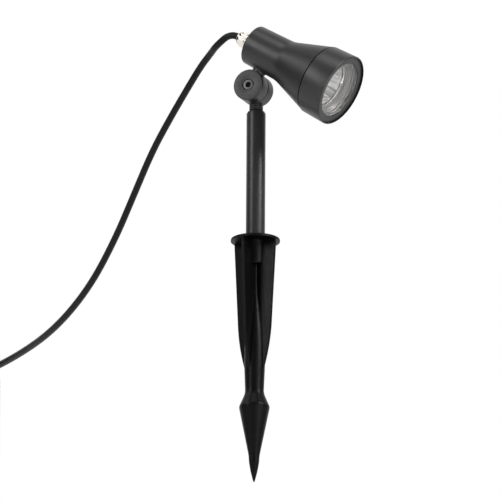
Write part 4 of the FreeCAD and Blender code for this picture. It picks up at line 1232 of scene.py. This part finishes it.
def makeWorld(f):
    world = bpy.data.worlds.new("paperRoom")
    world.use_nodes = True
    scene.world = world
    tree = world.node_tree
    tree.nodes.clear()
    out = tree.nodes.new("ShaderNodeOutputWorld")
    room = tree.nodes.new("ShaderNodeBackground")
    room.inputs["Color"].default_value = (1, 1, 1, 1)
    paper = tree.nodes.new("ShaderNodeBackground")
    paper.inputs["Color"].default_value = (1, 1, 1, 1)
    paper.inputs["Strength"].default_value = 1.0
    place = tree.nodes.new("ShaderNodeTexCoord")
    toward = tree.nodes.new("ShaderNodeVectorMath")
    toward.operation = "DOT_PRODUCT"
    toward.inputs[1].default_value = Vector(f["paperToward"]).normalized()
    tree.links.new(place.outputs["Generated"], toward.inputs[0])
    fade = rangeNode(tree, toward.outputs["Value"], f["paperEdge"], shape="SMOOTHSTEP")
    light = rangeNode(tree, fade, (0, 1), (f["roomLight"], f["paperLight"]))
    tree.links.new(light, room.inputs["Strength"])
    rays = tree.nodes.new("ShaderNodeLightPath")
    # the camera and clear panes see white paper, and metal mirrors it where it hangs
    shine = mathNode(tree, "MULTIPLY", rays.outputs["Is Glossy Ray"], fade)
    through = mathNode(tree, "MAXIMUM", rays.outputs["Is Transmission Ray"], shine)
    seen = mathNode(tree, "MAXIMUM", rays.outputs["Is Camera Ray"], through)
    mixed = mixNode(tree, seen, room.outputs[0], paper.outputs[0])
    tree.links.new(mixed, out.inputs["Surface"])


def paleFinish(f):
    material, tree, bsdf = newFinish("paleFloor")
    bsdf.inputs["Roughness"].default_value = 0.9
    bsdf.inputs["Specular IOR Level"].default_value = 0.1
    grain = noiseNode(tree, 3, 2.0)
    tintFrom(tree, bsdf, grain, *around(f["floorShade"], 0.01))
    rays = tree.nodes.new("ShaderNodeLightPath")
    mirrored = mathNode(tree, "MAXIMUM", rays.outputs["Is Glossy Ray"],
                        rays.outputs["Is Transmission Ray"])
    share = mathNode(tree, "MULTIPLY", mirrored, f["floorGloss"])
    looked = mathNode(tree, "MULTIPLY_ADD", rays.outputs["Is Camera Ray"], f["floorPale"], share)
    white = tree.nodes.new("ShaderNodeEmission")
    paper = mixNode(tree, looked, bsdf.outputs[0], white.outputs[0])
    side = tree.nodes.new("ShaderNodeNewGeometry")     # clear from below, for the low camera
    clear = tree.nodes.new("ShaderNodeBsdfTransparent")
    mixed = mixNode(tree, side.outputs["Backfacing"], paper, clear.outputs[0])
    tree.links.new(mixed, tree.nodes["Material Output"].inputs["Surface"])
    return material


def makeFloor(f):
    pale = paleFinish(f)
    half = f["floorSize"] / 2
    mesh = bpy.data.meshes.new("paperFloor")
    z = f["floorHeight"]
    corners = [(-half, -half, z), (half, -half, z), (half, half, z), (-half, half, z)]
    mesh.from_pydata(corners, [], [(0, 1, 2, 3)])
    placedPiece("paperFloor", mesh, pale)
    bm = bmesh.new()
    x, y = f["plinthSpot"]
    top, r = f["plinthTop"] / mm, f["plinthRadius"] / mm
    turned(bm, [(z / mm, 0), (z / mm, r), (top, r, 1.5), (top, 0)],
           Matrix.Translation((x, y, 0)) @ uprightMatrix)
    placedPiece("coilPlinth", smoothMesh(bm, "coilPlinth"), pale)


def makeSoftBoxes(f):
    aim = Vector(f["aimedAt"])
    for name, place, width, height, watts, spread in f["softBoxes"]:
        data = bpy.data.lights.new(name, "AREA")
        data.shape = "RECTANGLE"
        data.size, data.size_y = width, height
        data.energy = watts
        data.spread = math.radians(spread)
        lamp = bpy.data.objects.new(name, data)
        scene.collection.objects.link(lamp)
        lamp.location = place
        lamp.rotation_mode = "QUATERNION"
        lamp.rotation_quaternion = (aim - Vector(place)).to_track_quat("-Z", "Y")
        lamp.visible_camera = False


makeWorld(studio)
makeFloor(studio)
makeSoftBoxes(studio)
scene.view_settings.view_transform = "Standard"
print("studio lit")

print("scene made")
